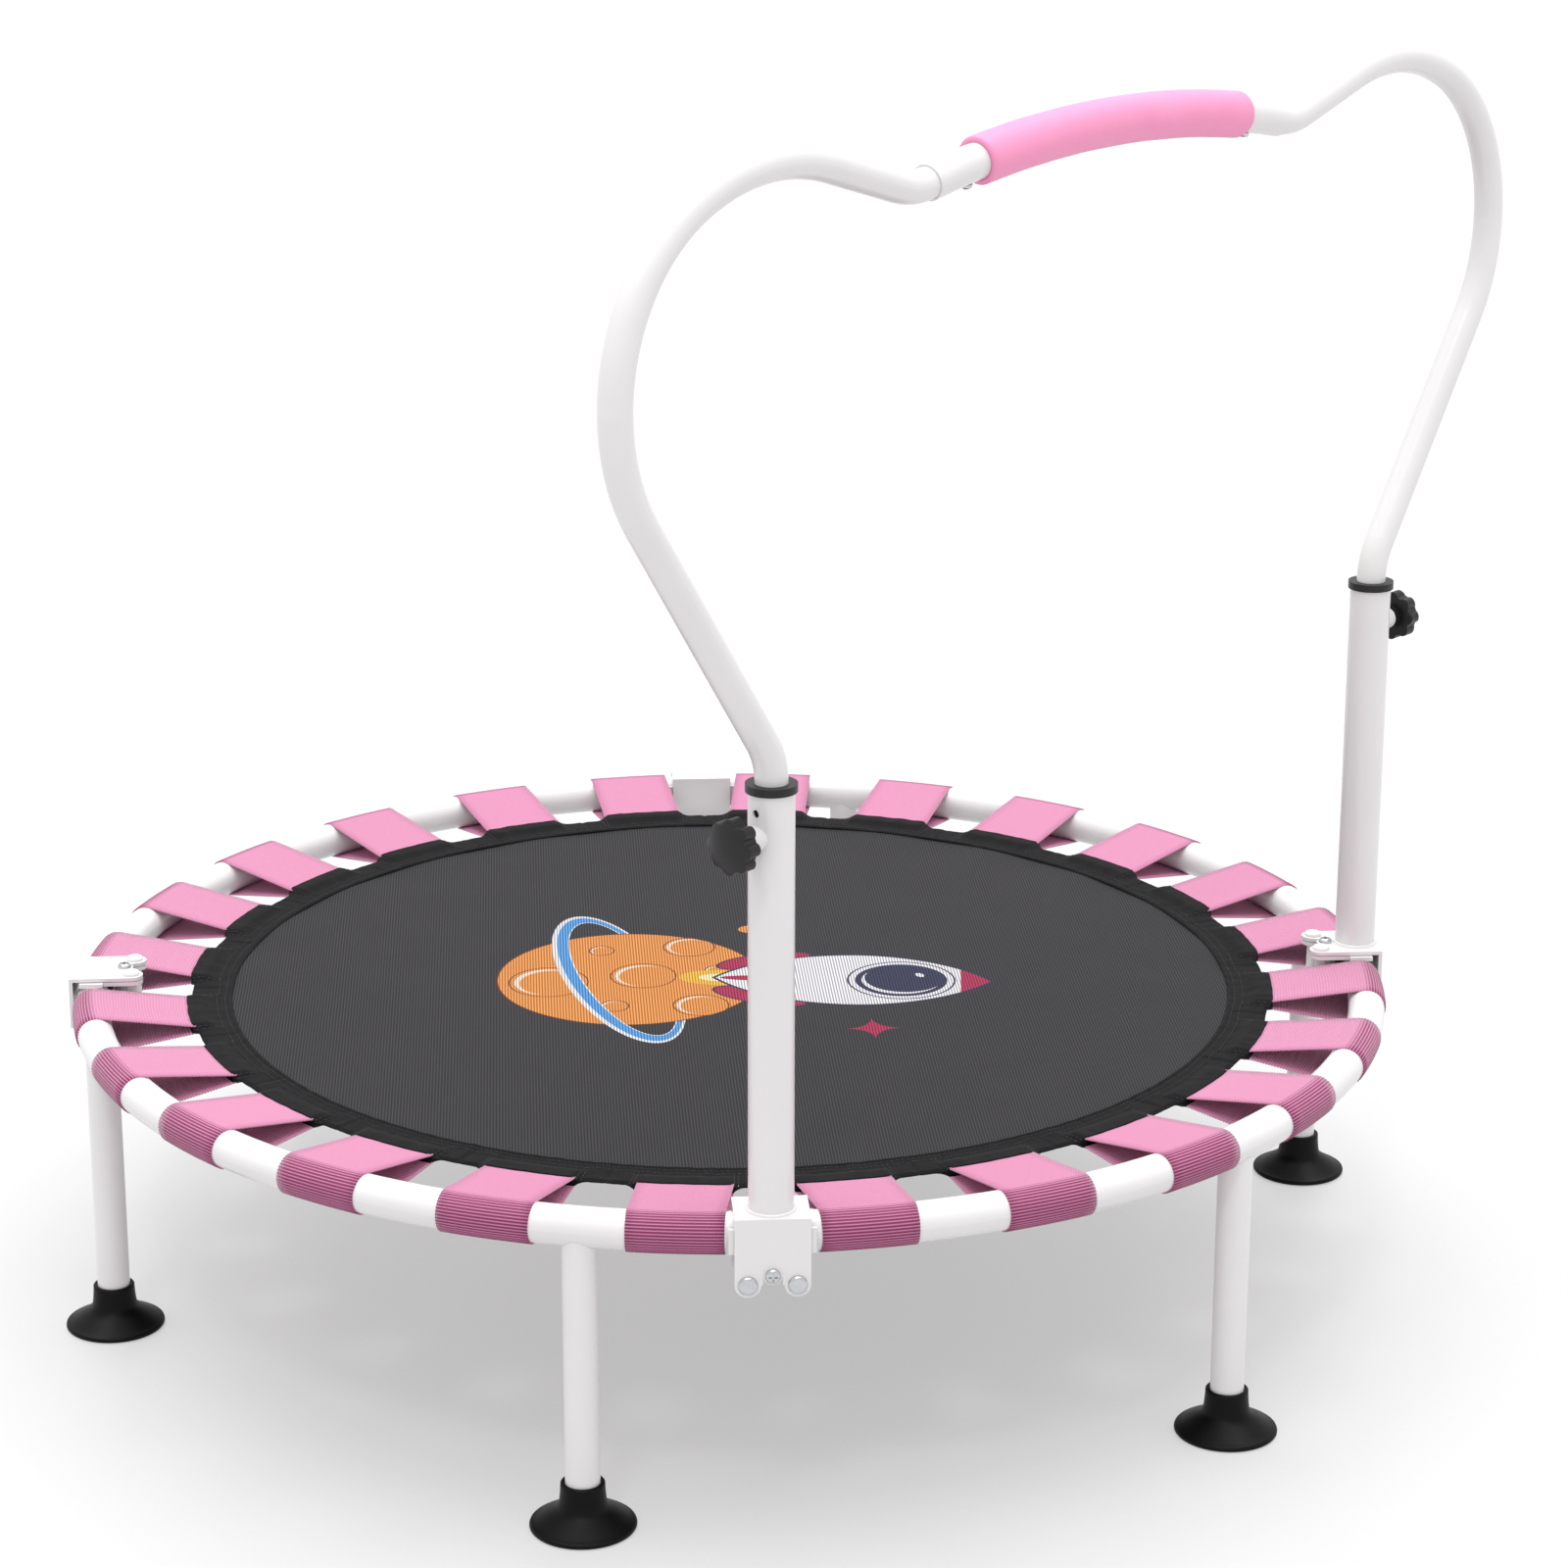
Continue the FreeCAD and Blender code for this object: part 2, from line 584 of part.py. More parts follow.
def knob():
    """A lobed clamp knob on a short hub, with a domed face."""
    axis = on_upright_axis(KNOB_Z)
    hub = axis + X_AXIS * knob_start()
    head = hub + X_AXIS * KNOB_HUB_LENGTH
    lobe_circle = KNOB_RADIUS - KNOB_LOBE_RADIUS
    body = cylinder(lobe_circle + KNOB_LOBE_RADIUS / 3, head, X_AXIS, KNOB_THICKNESS)
    for k in range(KNOB_LOBES):
        angle = 2 * math.pi * k / KNOB_LOBES
        centre = head + vector(0, lobe_circle * math.cos(angle), lobe_circle * math.sin(angle))
        body = body.fuse(cylinder(KNOB_LOBE_RADIUS, centre, X_AXIS, KNOB_THICKNESS))
    face = head + X_AXIS * (KNOB_THICKNESS - KNOB_DOME_RADIUS)
    body = body.removeSplitter().common(Part.makeSphere(KNOB_DOME_RADIUS, face))
    body = body.fuse(cylinder(KNOB_HUB_RADIUS, hub, X_AXIS, KNOB_HUB_LENGTH)).removeSplitter()
    return body.cut(cylinder(STUD_RADIUS, hub, X_AXIS, KNOB_HUB_LENGTH + KNOB_THICKNESS / 2))


# ---------------------------------------------------------------- handle

class Route:
    """A path of straight runs and tangent arcs in the handle's plane, followed from its start."""

    def __init__(self, x, z, heading):
        self.x = x
        self.z = z
        self.heading = heading
        self.edges = []

    def point(self):
        return vector(self.x, UPRIGHT_Y, self.z)

    def direction(self, heading):
        angle = math.radians(heading)
        return vector(math.cos(angle), 0, math.sin(angle))

    def run(self, length):
        start = self.point()
        end = start + self.direction(self.heading) * length
        self.edges.append(Part.LineSegment(start, end).toShape())
        self.x = end.x
        self.z = end.z

    def bend(self, radius, turn):
        """Turn left by a positive angle and right by a negative one."""
        sign = 1 if turn > 0 else -1
        start = self.point()
        centre = start + self.direction(self.heading + 90 * sign) * radius
        middle = centre + self.direction(self.heading + turn / 2 - 90 * sign) * radius
        end = centre + self.direction(self.heading + turn - 90 * sign) * radius
        self.edges.append(Part.Arc(start, middle, end).toShape())
        self.x = end.x
        self.z = end.z
        self.heading += turn


def follow_lobe(route, dip_run):
    """From the plug in the crossbar through the dip to the lobe's widest point."""
    route.bend(CROSSBAR_ARCH_RADIUS, -PLUG_ANGLE)
    route.bend(DIP_RADIUS, CROSSBAR_HALF_ANGLE + DIP_SLOPE)
    route.run(dip_run)
    route.bend(LOBE_TOP_RADIUS, -DIP_SLOPE - LOBE_SLOPE)
    route.run(LOBE_RUN)
    route.bend(SIDE_RADIUS, LOBE_SLOPE - 90)


def dip_run():
    """The straight run after the dip that carries the lobe its overhang past the upright."""
    trial_run = LOBE_OVERHANG
    trial = plug_route(0)
    follow_lobe(trial, trial_run)
    shortfall = UPRIGHT_X + LOBE_OVERHANG - trial.x
    return trial_run + shortfall / math.cos(math.radians(DIP_SLOPE))


def follow_side(route):
    """The right-hand side tube, from its plug in the crossbar round the lobe to the shoulder."""
    follow_lobe(route, dip_run())
    route.bend(SIDE_RADIUS, -SIDE_LEAN)
    shoulder_width = SHOULDER_RADIUS * (1 - math.cos(math.radians(SIDE_LEAN)))
    across = route.x - shoulder_width - UPRIGHT_X
    route.run(across / math.sin(math.radians(SIDE_LEAN)))
    route.bend(SHOULDER_RADIUS, SIDE_LEAN)


def plug_route(crown):
    """A route that starts at the plug's inner end on the crossbar's arch."""
    angle = CROSSBAR_HALF_ANGLE - PLUG_ANGLE
    x = CROSSBAR_ARCH_RADIUS * math.sin(math.radians(angle))
    z = crown - CROSSBAR_ARCH_RADIUS * (1 - math.cos(math.radians(angle)))
    return Route(x, z, -angle)


def crossbar_crown():
    """Height of the crossbar's centreline, so that the shoulder bends start above the bushings."""
    trial = plug_route(0)
    follow_side(trial)
    return UPRIGHT_TOP + BUSHING_FLANGE_HEIGHT + SHOULDER_RISE - trial.z


def side_tube():
    crown = crossbar_crown()
    route = plug_route(crown)
    start = route.point()
    first_heading = route.direction(route.heading)
    follow_side(route)
    route.run(route.z - UPRIGHT_TOP + HANDLE_INSERTION)
    path = Part.Wire(route.edges)
    solids = []
    for radius in (HANDLE_RADIUS, HANDLE_RADIUS - HANDLE_WALL):
        section = Part.Face(Part.Wire(Part.makeCircle(radius, start, first_heading)))
        section.rotate(start, first_heading, SEAM_TURN)
        solids.append(path.makePipe(section))
    return solids[0].cut(solids[1]).cut(crossbar_screw_hole())


def arch(outer, inner, half_angle):
    """A tube on the crossbar's arch, from -half_angle to +half_angle about its crown."""
    pivot = vector(0, UPRIGHT_Y, crossbar_crown() - CROSSBAR_ARCH_RADIUS)
    crown = vector(0, UPRIGHT_Y, crossbar_crown())
    solids = []
    for radius in (outer, inner):
        section = Part.Face(Part.Wire(Part.makeCircle(radius, crown, X_AXIS)))
        section.rotate(crown, X_AXIS, SEAM_TURN)
        section.rotate(pivot, Y_AXIS, -half_angle)
        solids.append(section.revolve(pivot, Y_AXIS, 2 * half_angle))
    return solids[0].cut(solids[1])


def arch_frame(x):
    """The point of the arch's centreline at x and the direction from it to the arch's pivot."""
    tilt = math.asin(x / CROSSBAR_ARCH_RADIUS)
    inward = vector(-math.sin(tilt), 0, -math.cos(tilt))
    pivot = vector(0, UPRIGHT_Y, crossbar_crown() - CROSSBAR_ARCH_RADIUS)
    return pivot - inward * CROSSBAR_ARCH_RADIUS, inward


def crossbar_screw_hole():
    centre, inward = arch_frame(CROSSBAR_SCREW_X)
    return cylinder(CROSSBAR_SCREW_RADIUS + RUNNING_FIT, centre, inward, CROSSBAR_RADIUS)


def crossbar_screw():
    """A pan-head screw up through the crossbar's underside into the side tube."""
    centre, inward = arch_frame(CROSSBAR_SCREW_X)
    seat = centre + inward * CROSSBAR_RADIUS
    shank = cylinder(CROSSBAR_SCREW_RADIUS, seat, -inward, CROSSBAR_SCREW_LENGTH)
    head = domed_head(CROSSBAR_SCREW_HEAD_RADIUS, CROSSBAR_SCREW_HEAD_HEIGHT, seat, inward)
    return shank.fuse(head).removeSplitter()


def crossbar():
    hole = crossbar_screw_hole()
    bar = arch(CROSSBAR_RADIUS, HANDLE_RADIUS + CROSSBAR_FIT, CROSSBAR_HALF_ANGLE)
    return bar.cut(hole).cut(mirrored(hole))


def foam_grip():
    half_angle = math.degrees(GRIP_LENGTH / 2 / CROSSBAR_ARCH_RADIUS)
    return arch(GRIP_OD / 2, CROSSBAR_RADIUS + GRIP_GAP, half_angle)


def slide_guide():
    """The plastic ring on the lower end of a handle tube, guided inside the upright."""
    outer = UPRIGHT_RADIUS - UPRIGHT_WALL - GUIDE_GAP
    bottom = on_upright_axis(UPRIGHT_TOP - HANDLE_INSERTION)
    return tube(outer, HANDLE_RADIUS, bottom, Z_AXIS, GUIDE_LENGTH)


# ---------------------------------------------------------------- the parts

RING_TUBES = {
    "back_left_ring_tube": "back",
    "front_left_ring_tube": "left",
    "front_right_ring_tube": "front",
    "back_right_ring_tube": "right",
}
STRAP_SETS = {
    "back_left_straps": "back",
    "front_left_straps": "left",
    "front_right_straps": "front",
    "back_right_straps": "right",
}
LEFT_JOINTS = ("back", "left")
RIGHT_JOINTS = ("front", "right")
LEFT_LUGS = (("back", 1), ("left", -1), ("left", 1), ("front", -1))
RIGHT_LUGS = (("front", 1), ("right", -1), ("right", 1), ("back", -1))
STAYING_BRACKETS = ("front", "right", "back")


def make_frame():
    for name, joint in RING_TUBES.items():
        save(name, [ring_tube(joint)])
    for joint in JOINT_AZIMUTH:
        save(joint + "_bracket", [at_joint(bracket(), joint)])
        save(joint + "_hinge_pins", [at_joint(pin, joint) for pin in hinge_pins()])
    save("left_half_lugs", [cheek for end in LEFT_LUGS for cheek in lugs_at(*end)])
    save("right_half_lugs", [cheek for end in RIGHT_LUGS for cheek in lugs_at(*end)])
    save("left_screw_sleeve", [at_joint(screw_sleeve(), "left")])
    save("left_lock_screw", [at_joint(lock_screw(), "left")])
    save("left_lock_nut", [at_joint(lock_nut(), "left")])
    save("screw_sleeves", [at_joint(screw_sleeve(), joint) for joint in STAYING_BRACKETS])
    save("lock_screws", [at_joint(lock_screw(), joint) for joint in STAYING_BRACKETS])
    save("lock_nuts", [at_joint(lock_nut(), joint) for joint in STAYING_BRACKETS])


def make_legs():
    right_legs = [name for name in LEG_AZIMUTH if name not in LEFT_LEGS]
    for half, names in (("left_half", LEFT_LEGS), ("right_half", right_legs)):
        save(half + "_leg_sockets", [leg_socket(LEG_AZIMUTH[name]) for name in names])
        save(half + "_leg_studs", [leg_stud(LEG_AZIMUTH[name]) for name in names])
    for name, azimuth in LEG_AZIMUTH.items():
        save(name, [leg(azimuth)])
        save(name.replace("_leg", "_foot"), [foot(azimuth)])


def make_mat():
    for half, side, joints in (("left", -1, LEFT_JOINTS), ("right", 1, RIGHT_JOINTS)):
        save(half + "_mat", [mat(side)])
        save(half + "_hem", [hem(side, joints)])
        azimuths = [azimuth for joint in joints for azimuth in strap_azimuths(joint)]
        save(half + "_hem_rods", [turned(rod(ROD_RADIUS, 0), Z_AXIS, azimuth) for azimuth in azimuths])
    for name, joint in STRAP_SETS.items():
        save(name, [turned(strap(), Z_AXIS, azimuth) for azimuth in strap_azimuths(joint)])


def make_uprights():
    side_plate_top = RING_HEIGHT + BRACKET_OUTER
    web_top = RING_HEIGHT + BRACKET_WEB + BRACKET_SHEET
    save("right_upright", [upright(side_plate_top)])
    save("front_upright", [mirrored(upright(web_top))])
    save("upright_bushings", [upright_bushing(), mirrored(upright_bushing())])
    save("knob_weld_nuts", [weld_nut(), mirrored(weld_nut())])
    save("right_knob", [knob()])
    save("front_knob", [mirrored(knob())])
    save("right_knob_stud", [knob_stud()])
    save("front_knob_stud", [mirrored(knob_stud())])


def make_handle():
    save("handle_right_tube", [side_tube()])
    save("handle_left_tube", [mirrored(side_tube())])
    save("crossbar", [crossbar()])
    save("foam_grip", [foam_grip()])
    save("crossbar_screws", [crossbar_screw(), mirrored(crossbar_screw())])
    save("slide_guides", [slide_guide(), mirrored(slide_guide())])


os.makedirs("parts", exist_ok=True)
make_frame()
make_legs()
make_mat()
make_uprights()
make_handle()
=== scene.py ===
# %% [markdown]
# # A folding mini trampoline
# The steel parts come from the CAD frame with their sizes and joints settled. This lesson gives them
# their finishes and makes the soft parts: the jumping mat with its hem, the elastic straps, the rubber
# feet and the foam grip. Lengths are in metres and +Z is up.
# %% Load the frame
import math

import bmesh
import bpy
import numpy as np
from mathutils import Euler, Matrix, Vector, noise


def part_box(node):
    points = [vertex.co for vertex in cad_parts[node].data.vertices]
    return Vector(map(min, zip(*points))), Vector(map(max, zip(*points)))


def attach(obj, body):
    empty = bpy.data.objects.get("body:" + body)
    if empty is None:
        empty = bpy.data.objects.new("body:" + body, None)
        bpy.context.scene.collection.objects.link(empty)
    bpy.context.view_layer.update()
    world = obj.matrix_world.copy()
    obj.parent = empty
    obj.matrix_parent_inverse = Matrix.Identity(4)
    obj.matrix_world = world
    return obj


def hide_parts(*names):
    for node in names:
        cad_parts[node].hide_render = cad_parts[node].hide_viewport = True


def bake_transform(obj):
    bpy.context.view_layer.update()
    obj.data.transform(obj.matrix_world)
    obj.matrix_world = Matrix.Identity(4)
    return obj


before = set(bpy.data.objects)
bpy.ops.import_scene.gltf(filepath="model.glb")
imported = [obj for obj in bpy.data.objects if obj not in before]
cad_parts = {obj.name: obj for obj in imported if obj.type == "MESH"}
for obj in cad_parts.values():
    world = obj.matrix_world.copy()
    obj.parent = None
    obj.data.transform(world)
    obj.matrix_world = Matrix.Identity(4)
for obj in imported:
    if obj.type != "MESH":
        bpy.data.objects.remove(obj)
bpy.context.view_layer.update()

# %% [markdown]
# ## Sizes
# The soft parts share their main sizes with the steel ones, written once here from the drawing.
# %% Sizes shared with the frame
MM = 0.001
RING_RADIUS = 445 * MM
RING_TUBE_RADIUS = 12.5 * MM
RING_HEIGHT = 200 * MM
HEM_RADIUS = 381 * MM
HEM_WIDTH = 32 * MM
ROD_CIRCLE = 375 * MM
ROD_RADIUS = 1.5 * MM
STRAP_COUNT = 24
STRAP_PITCH = math.tau / STRAP_COUNT
FIRST_STRAP = math.radians(-127.5)
STRAP_WIDTH = 60 * MM
STRAP_THICKNESS = 0.8 * MM
UPRIGHT_Y = -314.66 * MM
LEFT_LEGS = {"back_left_foot": 90, "left_foot": 150, "front_left_foot": -150}
RIGHT_LEGS = {"front_right_foot": -92, "right_foot": -31.5, "back_right_foot": 30}
print("one strap every", round(math.degrees(STRAP_PITCH), 3), "degrees")

# %% [markdown]
# ## Small helpers
# Materials and Geometry Nodes trees are made of nodes, so one function adds a node, sets its properties
# and joins its inputs. A node such as Mix hides a set of sockets for each type of data, so only those in
# use are searched. A hex colour is stored as the eye sees it, and light is worked out in linear values,
# so another function turns one into the other.
# %% Colour and node helpers
def from_hex(code):
    """The linear colour of an sRGB hex code such as "#F4F4F5"."""
    parts = [int(code[i:i + 2], 16) / 255 for i in (1, 3, 5)]
    linear = [c / 12.92 if c <= 0.04045 else ((c + 0.055) / 1.055) ** 2.4 for c in parts]
    return (*linear, 1.0)


def add_node(tree, kind, inputs=None, **settings):
    """Add a node; settings are its own properties, inputs are values, nodes or sockets to join."""
    node = tree.nodes.new(kind)
    for name, value in settings.items():
        setattr(node, name, value)
    for key, value in (inputs or {}).items():
        if isinstance(key, int):
            socket = node.inputs[key]
        else:
            socket = next(s for s in node.inputs if s.enabled and s.name == key)
        if isinstance(value, bpy.types.Node):
            value = next(s for s in value.outputs if s.enabled)
        if isinstance(value, bpy.types.NodeSocket):
            tree.links.new(value, socket)
        else:
            socket.default_value = value
    return node


def new_material(name):
    """A new material and its empty node tree."""
    material = bpy.data.materials.new(name)
    material.use_nodes = True
    material.node_tree.nodes.clear()
    return material, material.node_tree


def mottle(tree, place, size, dark, light, detail=2.0):
    """Noise whose blotches are about size across, and the colour that it mixes from two tones."""
    blotches = add_node(tree, "ShaderNodeTexNoise", {"Vector": place, "Scale": 1 / size, "Detail": detail})
    colour = add_node(tree, "ShaderNodeMix", {
        "Factor": blotches, "A": from_hex(dark), "B": from_hex(light)}, data_type="RGBA")
    return blotches, colour


def end_material(tree, colour, height, depth, shader_inputs, strength=1.0):
    """End a material: a relief of a real depth, the shader with its other inputs, and the output."""
    relief = add_node(tree, "ShaderNodeBump", {"Height": height, "Distance": depth, "Strength": strength})
    shader = add_node(tree, "ShaderNodeBsdfPrincipled", {
        "Base Color": colour, "Normal": relief, **shader_inputs})
    add_node(tree, "ShaderNodeOutputMaterial", {"Surface": shader})


print("helpers ready")

# %% [markdown]
# ## Camera, floor and light
# The camera looks from a little above through a long lens, so the ring is a wide ellipse. It is set
# first, because everything after is judged through it.
# %% Camera
CAMERA_PLACE = (-2.0007, -1.7959, 1.1807)
CAMERA_AZIMUTH = 41.114
CAMERA_TILT = 17.291
CAMERA_ROLL = 0.10
camera_data = bpy.data.cameras.new("studio_camera")
camera_data.sensor_width = 36
camera_data.lens = 92.87
camera_data.clip_end = 100
camera = bpy.data.objects.new("studio_camera", camera_data)
bpy.context.scene.collection.objects.link(camera)
camera.location = CAMERA_PLACE
look = Euler((math.radians(90 - CAMERA_TILT), 0, math.radians(CAMERA_AZIMUTH - 90))).to_matrix()
roll = Euler((0, 0, math.radians(CAMERA_ROLL))).to_matrix()
camera.rotation_euler = (look @ roll).to_euler()
bpy.context.scene.camera = camera
print("camera at", CAMERA_PLACE)

# %% [markdown]
# The trampoline stands on a table of opal acrylic that is lit from below. Its glow washes out most of the
# shadow, which a plain white floor would show much darker. A sun more than fifty degrees wide stands in
# for a ceiling of softboxes: it brightens the straps' tops and leaves their sides deep pink. A small
# second sun draws the narrow shine along the tubes, and the world's even white fills the rest.
# %% Floor and lights
FLOOR_RADIUS = 40.0
FLOOR_SIDES = 64
FLOOR_DROP = 0.5 * MM
TABLE_GLOW = 0.42
WORLD_LIGHT = 0.92
floor_mesh = bpy.data.meshes.new("studio_floor")
rim = [(FLOOR_RADIUS * math.cos(a), FLOOR_RADIUS * math.sin(a), 0)
       for a in np.linspace(0, math.tau, FLOOR_SIDES + 1)[:-1]]
floor_mesh.from_pydata(rim, [], [tuple(range(FLOOR_SIDES))])
floor = bpy.data.objects.new("studio_floor", floor_mesh)
bpy.context.scene.collection.objects.link(floor)
floor.location.z = -FLOOR_DROP

# Opal acrylic is cast plastic with a milky body: a half matt pale grey, with the faintest cloud in it.
opal, tree = new_material("opal_acrylic_table")
place = add_node(tree, "ShaderNodeTexCoord").outputs["Object"]
milk, colour = mottle(tree, place, 4 * MM, "#949495", "#989899")
shader = add_node(tree, "ShaderNodeBsdfPrincipled", {
    "Base Color": colour, "Roughness": 0.5, "Emission Color": (1, 1, 1, 1), "Emission Strength": TABLE_GLOW})
add_node(tree, "ShaderNodeOutputMaterial", {"Surface": shader})
floor_mesh.materials.append(opal)

world = bpy.data.worlds.new("studio_white")
world.use_nodes = True
world.node_tree.nodes["Background"].inputs["Color"].default_value = (1, 1, 1, 1)
world.node_tree.nodes["Background"].inputs["Strength"].default_value = WORLD_LIGHT
bpy.context.scene.world = world


def soft_sun(name, azimuth, elevation, spread, strength):
    """A sun with a wide disc, which lights the whole floor evenly; angles are in degrees."""
    data = bpy.data.lights.new(name, "SUN")
    data.angle = math.radians(spread)
    data.energy = strength
    light = bpy.data.objects.new(name, data)
    light.rotation_euler = Euler((math.radians(90 - elevation), 0, math.radians(azimuth)))
    bpy.context.scene.collection.objects.link(light)


soft_sun("ceiling_light", azimuth=130, elevation=81, spread=56, strength=2.75)
soft_sun("strip_light", azimuth=-62, elevation=58, spread=7, strength=0.38)
bpy.context.scene.view_settings.view_transform = "Standard"
print("floor and lights ready")

# %% [markdown]
# ## White powder coat
# The frame is steel tube with a polyester powder coat, sprayed dry and baked. Up close it has a faint
# orange peel, ripples about a millimetre wide, under an even satin gloss. The ripple could be modelled,
# but a noise bump is enough for a hundredth of a millimetre. A slow noise changes the colour and the
# roughness a little.
# %% Powder coat
powder_coat, tree = new_material("white_powder_coated_steel")
place = add_node(tree, "ShaderNodeTexCoord").outputs["Object"]
peel = add_node(tree, "ShaderNodeTexNoise", {"Vector": place, "Scale": 1 / (1.4 * MM)})
cloud, colour = mottle(tree, place, 60 * MM, "#D9D7D7", "#E0DEDE")
gloss = add_node(tree, "ShaderNodeMapRange", {"Value": cloud, "To Min": 0.17, "To Max": 0.25})
end_material(tree, colour, peel, 0.012 * MM, {"Roughness": gloss, "IOR": 1.5})
print(powder_coat.name)

# %% [markdown]
# ## Bright zinc plate
# Pins, screws and nuts are steel with bright zinc plate: a mirror-like grey metal with a fine haze, which
# one noise draws. A metal keeps its colour in its reflections, so Metallic is 1.
# %% Zinc plate
zinc, tree = new_material("bright_zinc_plated_steel")
place = add_node(tree, "ShaderNodeTexCoord").outputs["Object"]
haze, colour = mottle(tree, place, 2.5 * MM, "#B9BBBF", "#D2D4D6", 4.0)
grit = add_node(tree, "ShaderNodeTexNoise", {"Vector": place, "Scale": 1 / (0.6 * MM)})
dull = add_node(tree, "ShaderNodeMapRange", {"Value": haze, "To Min": 0.16, "To Max": 0.34})
end_material(tree, colour, grit, 0.01 * MM, {"Roughness": dull, "Metallic": 1.0})
print(zinc.name)

# %% [markdown]
# ## Black nylon and black rubber
# The knobs, collars and end guides are injection-moulded glass-filled nylon: near black, half matt,
# with the spark-eroded grain of the mould, about 0.4 mm across. The feet are moulded rubber, softer,
# blacker and with hardly any shine, and dust lies on them in slow patches.
# %% Nylon
nylon, tree = new_material("moulded_black_nylon")
place = add_node(tree, "ShaderNodeTexCoord").outputs["Object"]
grain = add_node(tree, "ShaderNodeTexNoise", {"Vector": place, "Scale": 1 / (0.4 * MM)})
_, colour = mottle(tree, place, 9 * MM, "#0F0F10", "#1A1A1C")
satin = add_node(tree, "ShaderNodeMapRange", {"Value": grain, "To Min": 0.34, "To Max": 0.48})
end_material(tree, colour, grain, 0.03 * MM, {
    "Roughness": satin, "IOR": 1.53, "Specular IOR Level": 0.35})
print(nylon.name)

# %% Rubber
rubber, tree = new_material("moulded_black_rubber")
place = add_node(tree, "ShaderNodeTexCoord").outputs["Object"]
dust, colour = mottle(tree, place, 14 * MM, "#040405", "#0C0C0D", 5.0)
grain = add_node(tree, "ShaderNodeTexNoise", {"Vector": place, "Scale": 1 / (0.7 * MM)})
matt = add_node(tree, "ShaderNodeMapRange", {"Value": dust, "To Min": 0.38, "To Max": 0.52})
end_material(tree, colour, grain, 0.03 * MM, {
    "Roughness": matt, "IOR": 1.52, "Specular IOR Level": 0.12})
print(rubber.name)

# %% [markdown]
# ## Finish the steel frame
# A CAD node keeps its mesh, so its finish is only a change of material. Names tell which is which:
# the front and back hinge pins are bright, the side ones are coated with the brackets.
# %% Give each CAD node its finish
ZINC_WORDS = ("front_hinge_pins", "back_hinge_pins", "screw", "lock_nut", "stud", "rods")
NYLON_WORDS = ("knob", "bushing", "guide")


def finish_for(name):
    """The material that a CAD node's name calls for."""
    if "weld_nut" in name or "sleeve" in name:
        return powder_coat
    if any(word in name for word in ZINC_WORDS):
        return zinc
    if any(word in name for word in NYLON_WORDS):
        return nylon
    return powder_coat


for name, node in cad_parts.items():
    node.data.materials.clear()
    node.data.materials.append(finish_for(name))
print("finished", len(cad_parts), "CAD nodes")

# %% [markdown]
# ## The jumping mat
# The mat is a disc of woven polypropylene, pulled flat by the straps. Its warp threads stand up as fine
# ribs that run from the front joint to the back one. A cloth simulation would only pull it flat again, so
# its slight ripple is written as a height. Its mesh is laid in rows along the fold, closest where it
# bends, because a fan of faces would break into strips there. Its flat place is kept in a UV map, so that
# weave and print stay on the cloth.
# %% A mesh from points, with its flat place as UV
def mesh_piece(name, points, faces, flat=None):
    """A smooth mesh object; flat is each point's place on the flat cloth."""
    mesh = bpy.data.meshes.new(name)
    mesh.from_pydata([tuple(p) for p in points], [], faces)
    if flat is not None:
        layer = mesh.uv_layers.new(name="flat")
        corners = np.array([loop.vertex_index for loop in mesh.loops])
        layer.data.foreach_set("uv", np.asarray(flat, np.float32)[corners].ravel())
    mesh.polygons.foreach_set("use_smooth", [True] * len(mesh.polygons))
    mesh.validate()
    piece = bpy.data.objects.new(name, mesh)
    bpy.context.scene.collection.objects.link(piece)
    return piece


def closed_loft(rings):
    """Quads between rings of equal length, each ring and the row of rings closed on itself."""
    rows, count = len(rings), len(rings[0])
    return [(i * count + j, (i + 1) % rows * count + j,
             (i + 1) % rows * count + (j + 1) % count, i * count + (j + 1) % count)
            for i in range(rows) for j in range(count)]


def apply_modifier(piece, kind, **settings):
    """Finish a piece with a modifier and keep the result as its plain mesh."""
    modifier = piece.modifiers.new(kind.lower(), kind)
    for key, value in settings.items():
        setattr(modifier, key, value)
    graph = bpy.context.evaluated_depsgraph_get()
    mesh = bpy.data.meshes.new_from_object(piece.evaluated_get(graph), depsgraph=graph)
    piece.modifiers.clear()
    piece.data = mesh


print("mesh helpers ready")

# %% Rows along the fold
MAT_EDGE = HEM_RADIUS - HEM_WIDTH + 3 * MM
MAT_THICKNESS = 1.2 * MM
MAT_ROWS = 91
MAT_COLUMNS = 96
BAND_ROWS = 25
BAND_MARGIN = 2 * MM
ROW_GAP = 3 * MM
LAST_ROW = 0.99995 * MAT_EDGE
FOLD_AZIMUTH = math.radians(45)
FOLD_BAND = (-6 * MM, 20 * MM)

# Towards the mat's two sides each row is a shorter chord of the circle, so the rows crowd there.
band_rows = list(np.linspace(FOLD_BAND[0] - BAND_MARGIN, FOLD_BAND[1] + BAND_MARGIN, BAND_ROWS))
even_rows = [MAT_EDGE * math.sin(math.pi / 2 * t) for t in np.linspace(-1, 1, MAT_ROWS)]
outer_rows = [s for s in even_rows if not band_rows[0] - ROW_GAP < s < band_rows[-1] + ROW_GAP]
mat_rows = sorted(outer_rows + band_rows)
mat_rows[0], mat_rows[-1] = -LAST_ROW, LAST_ROW
print("rows", len(mat_rows))

# %% Cut the mat
RIPPLE_FROM = 240 * MM
RIPPLE_REACH = 110 * MM
EDGE_RIPPLE = 0.35 * MM
SLACK_RIPPLE = 0.25 * MM
SLACK_PER_METRE = 20


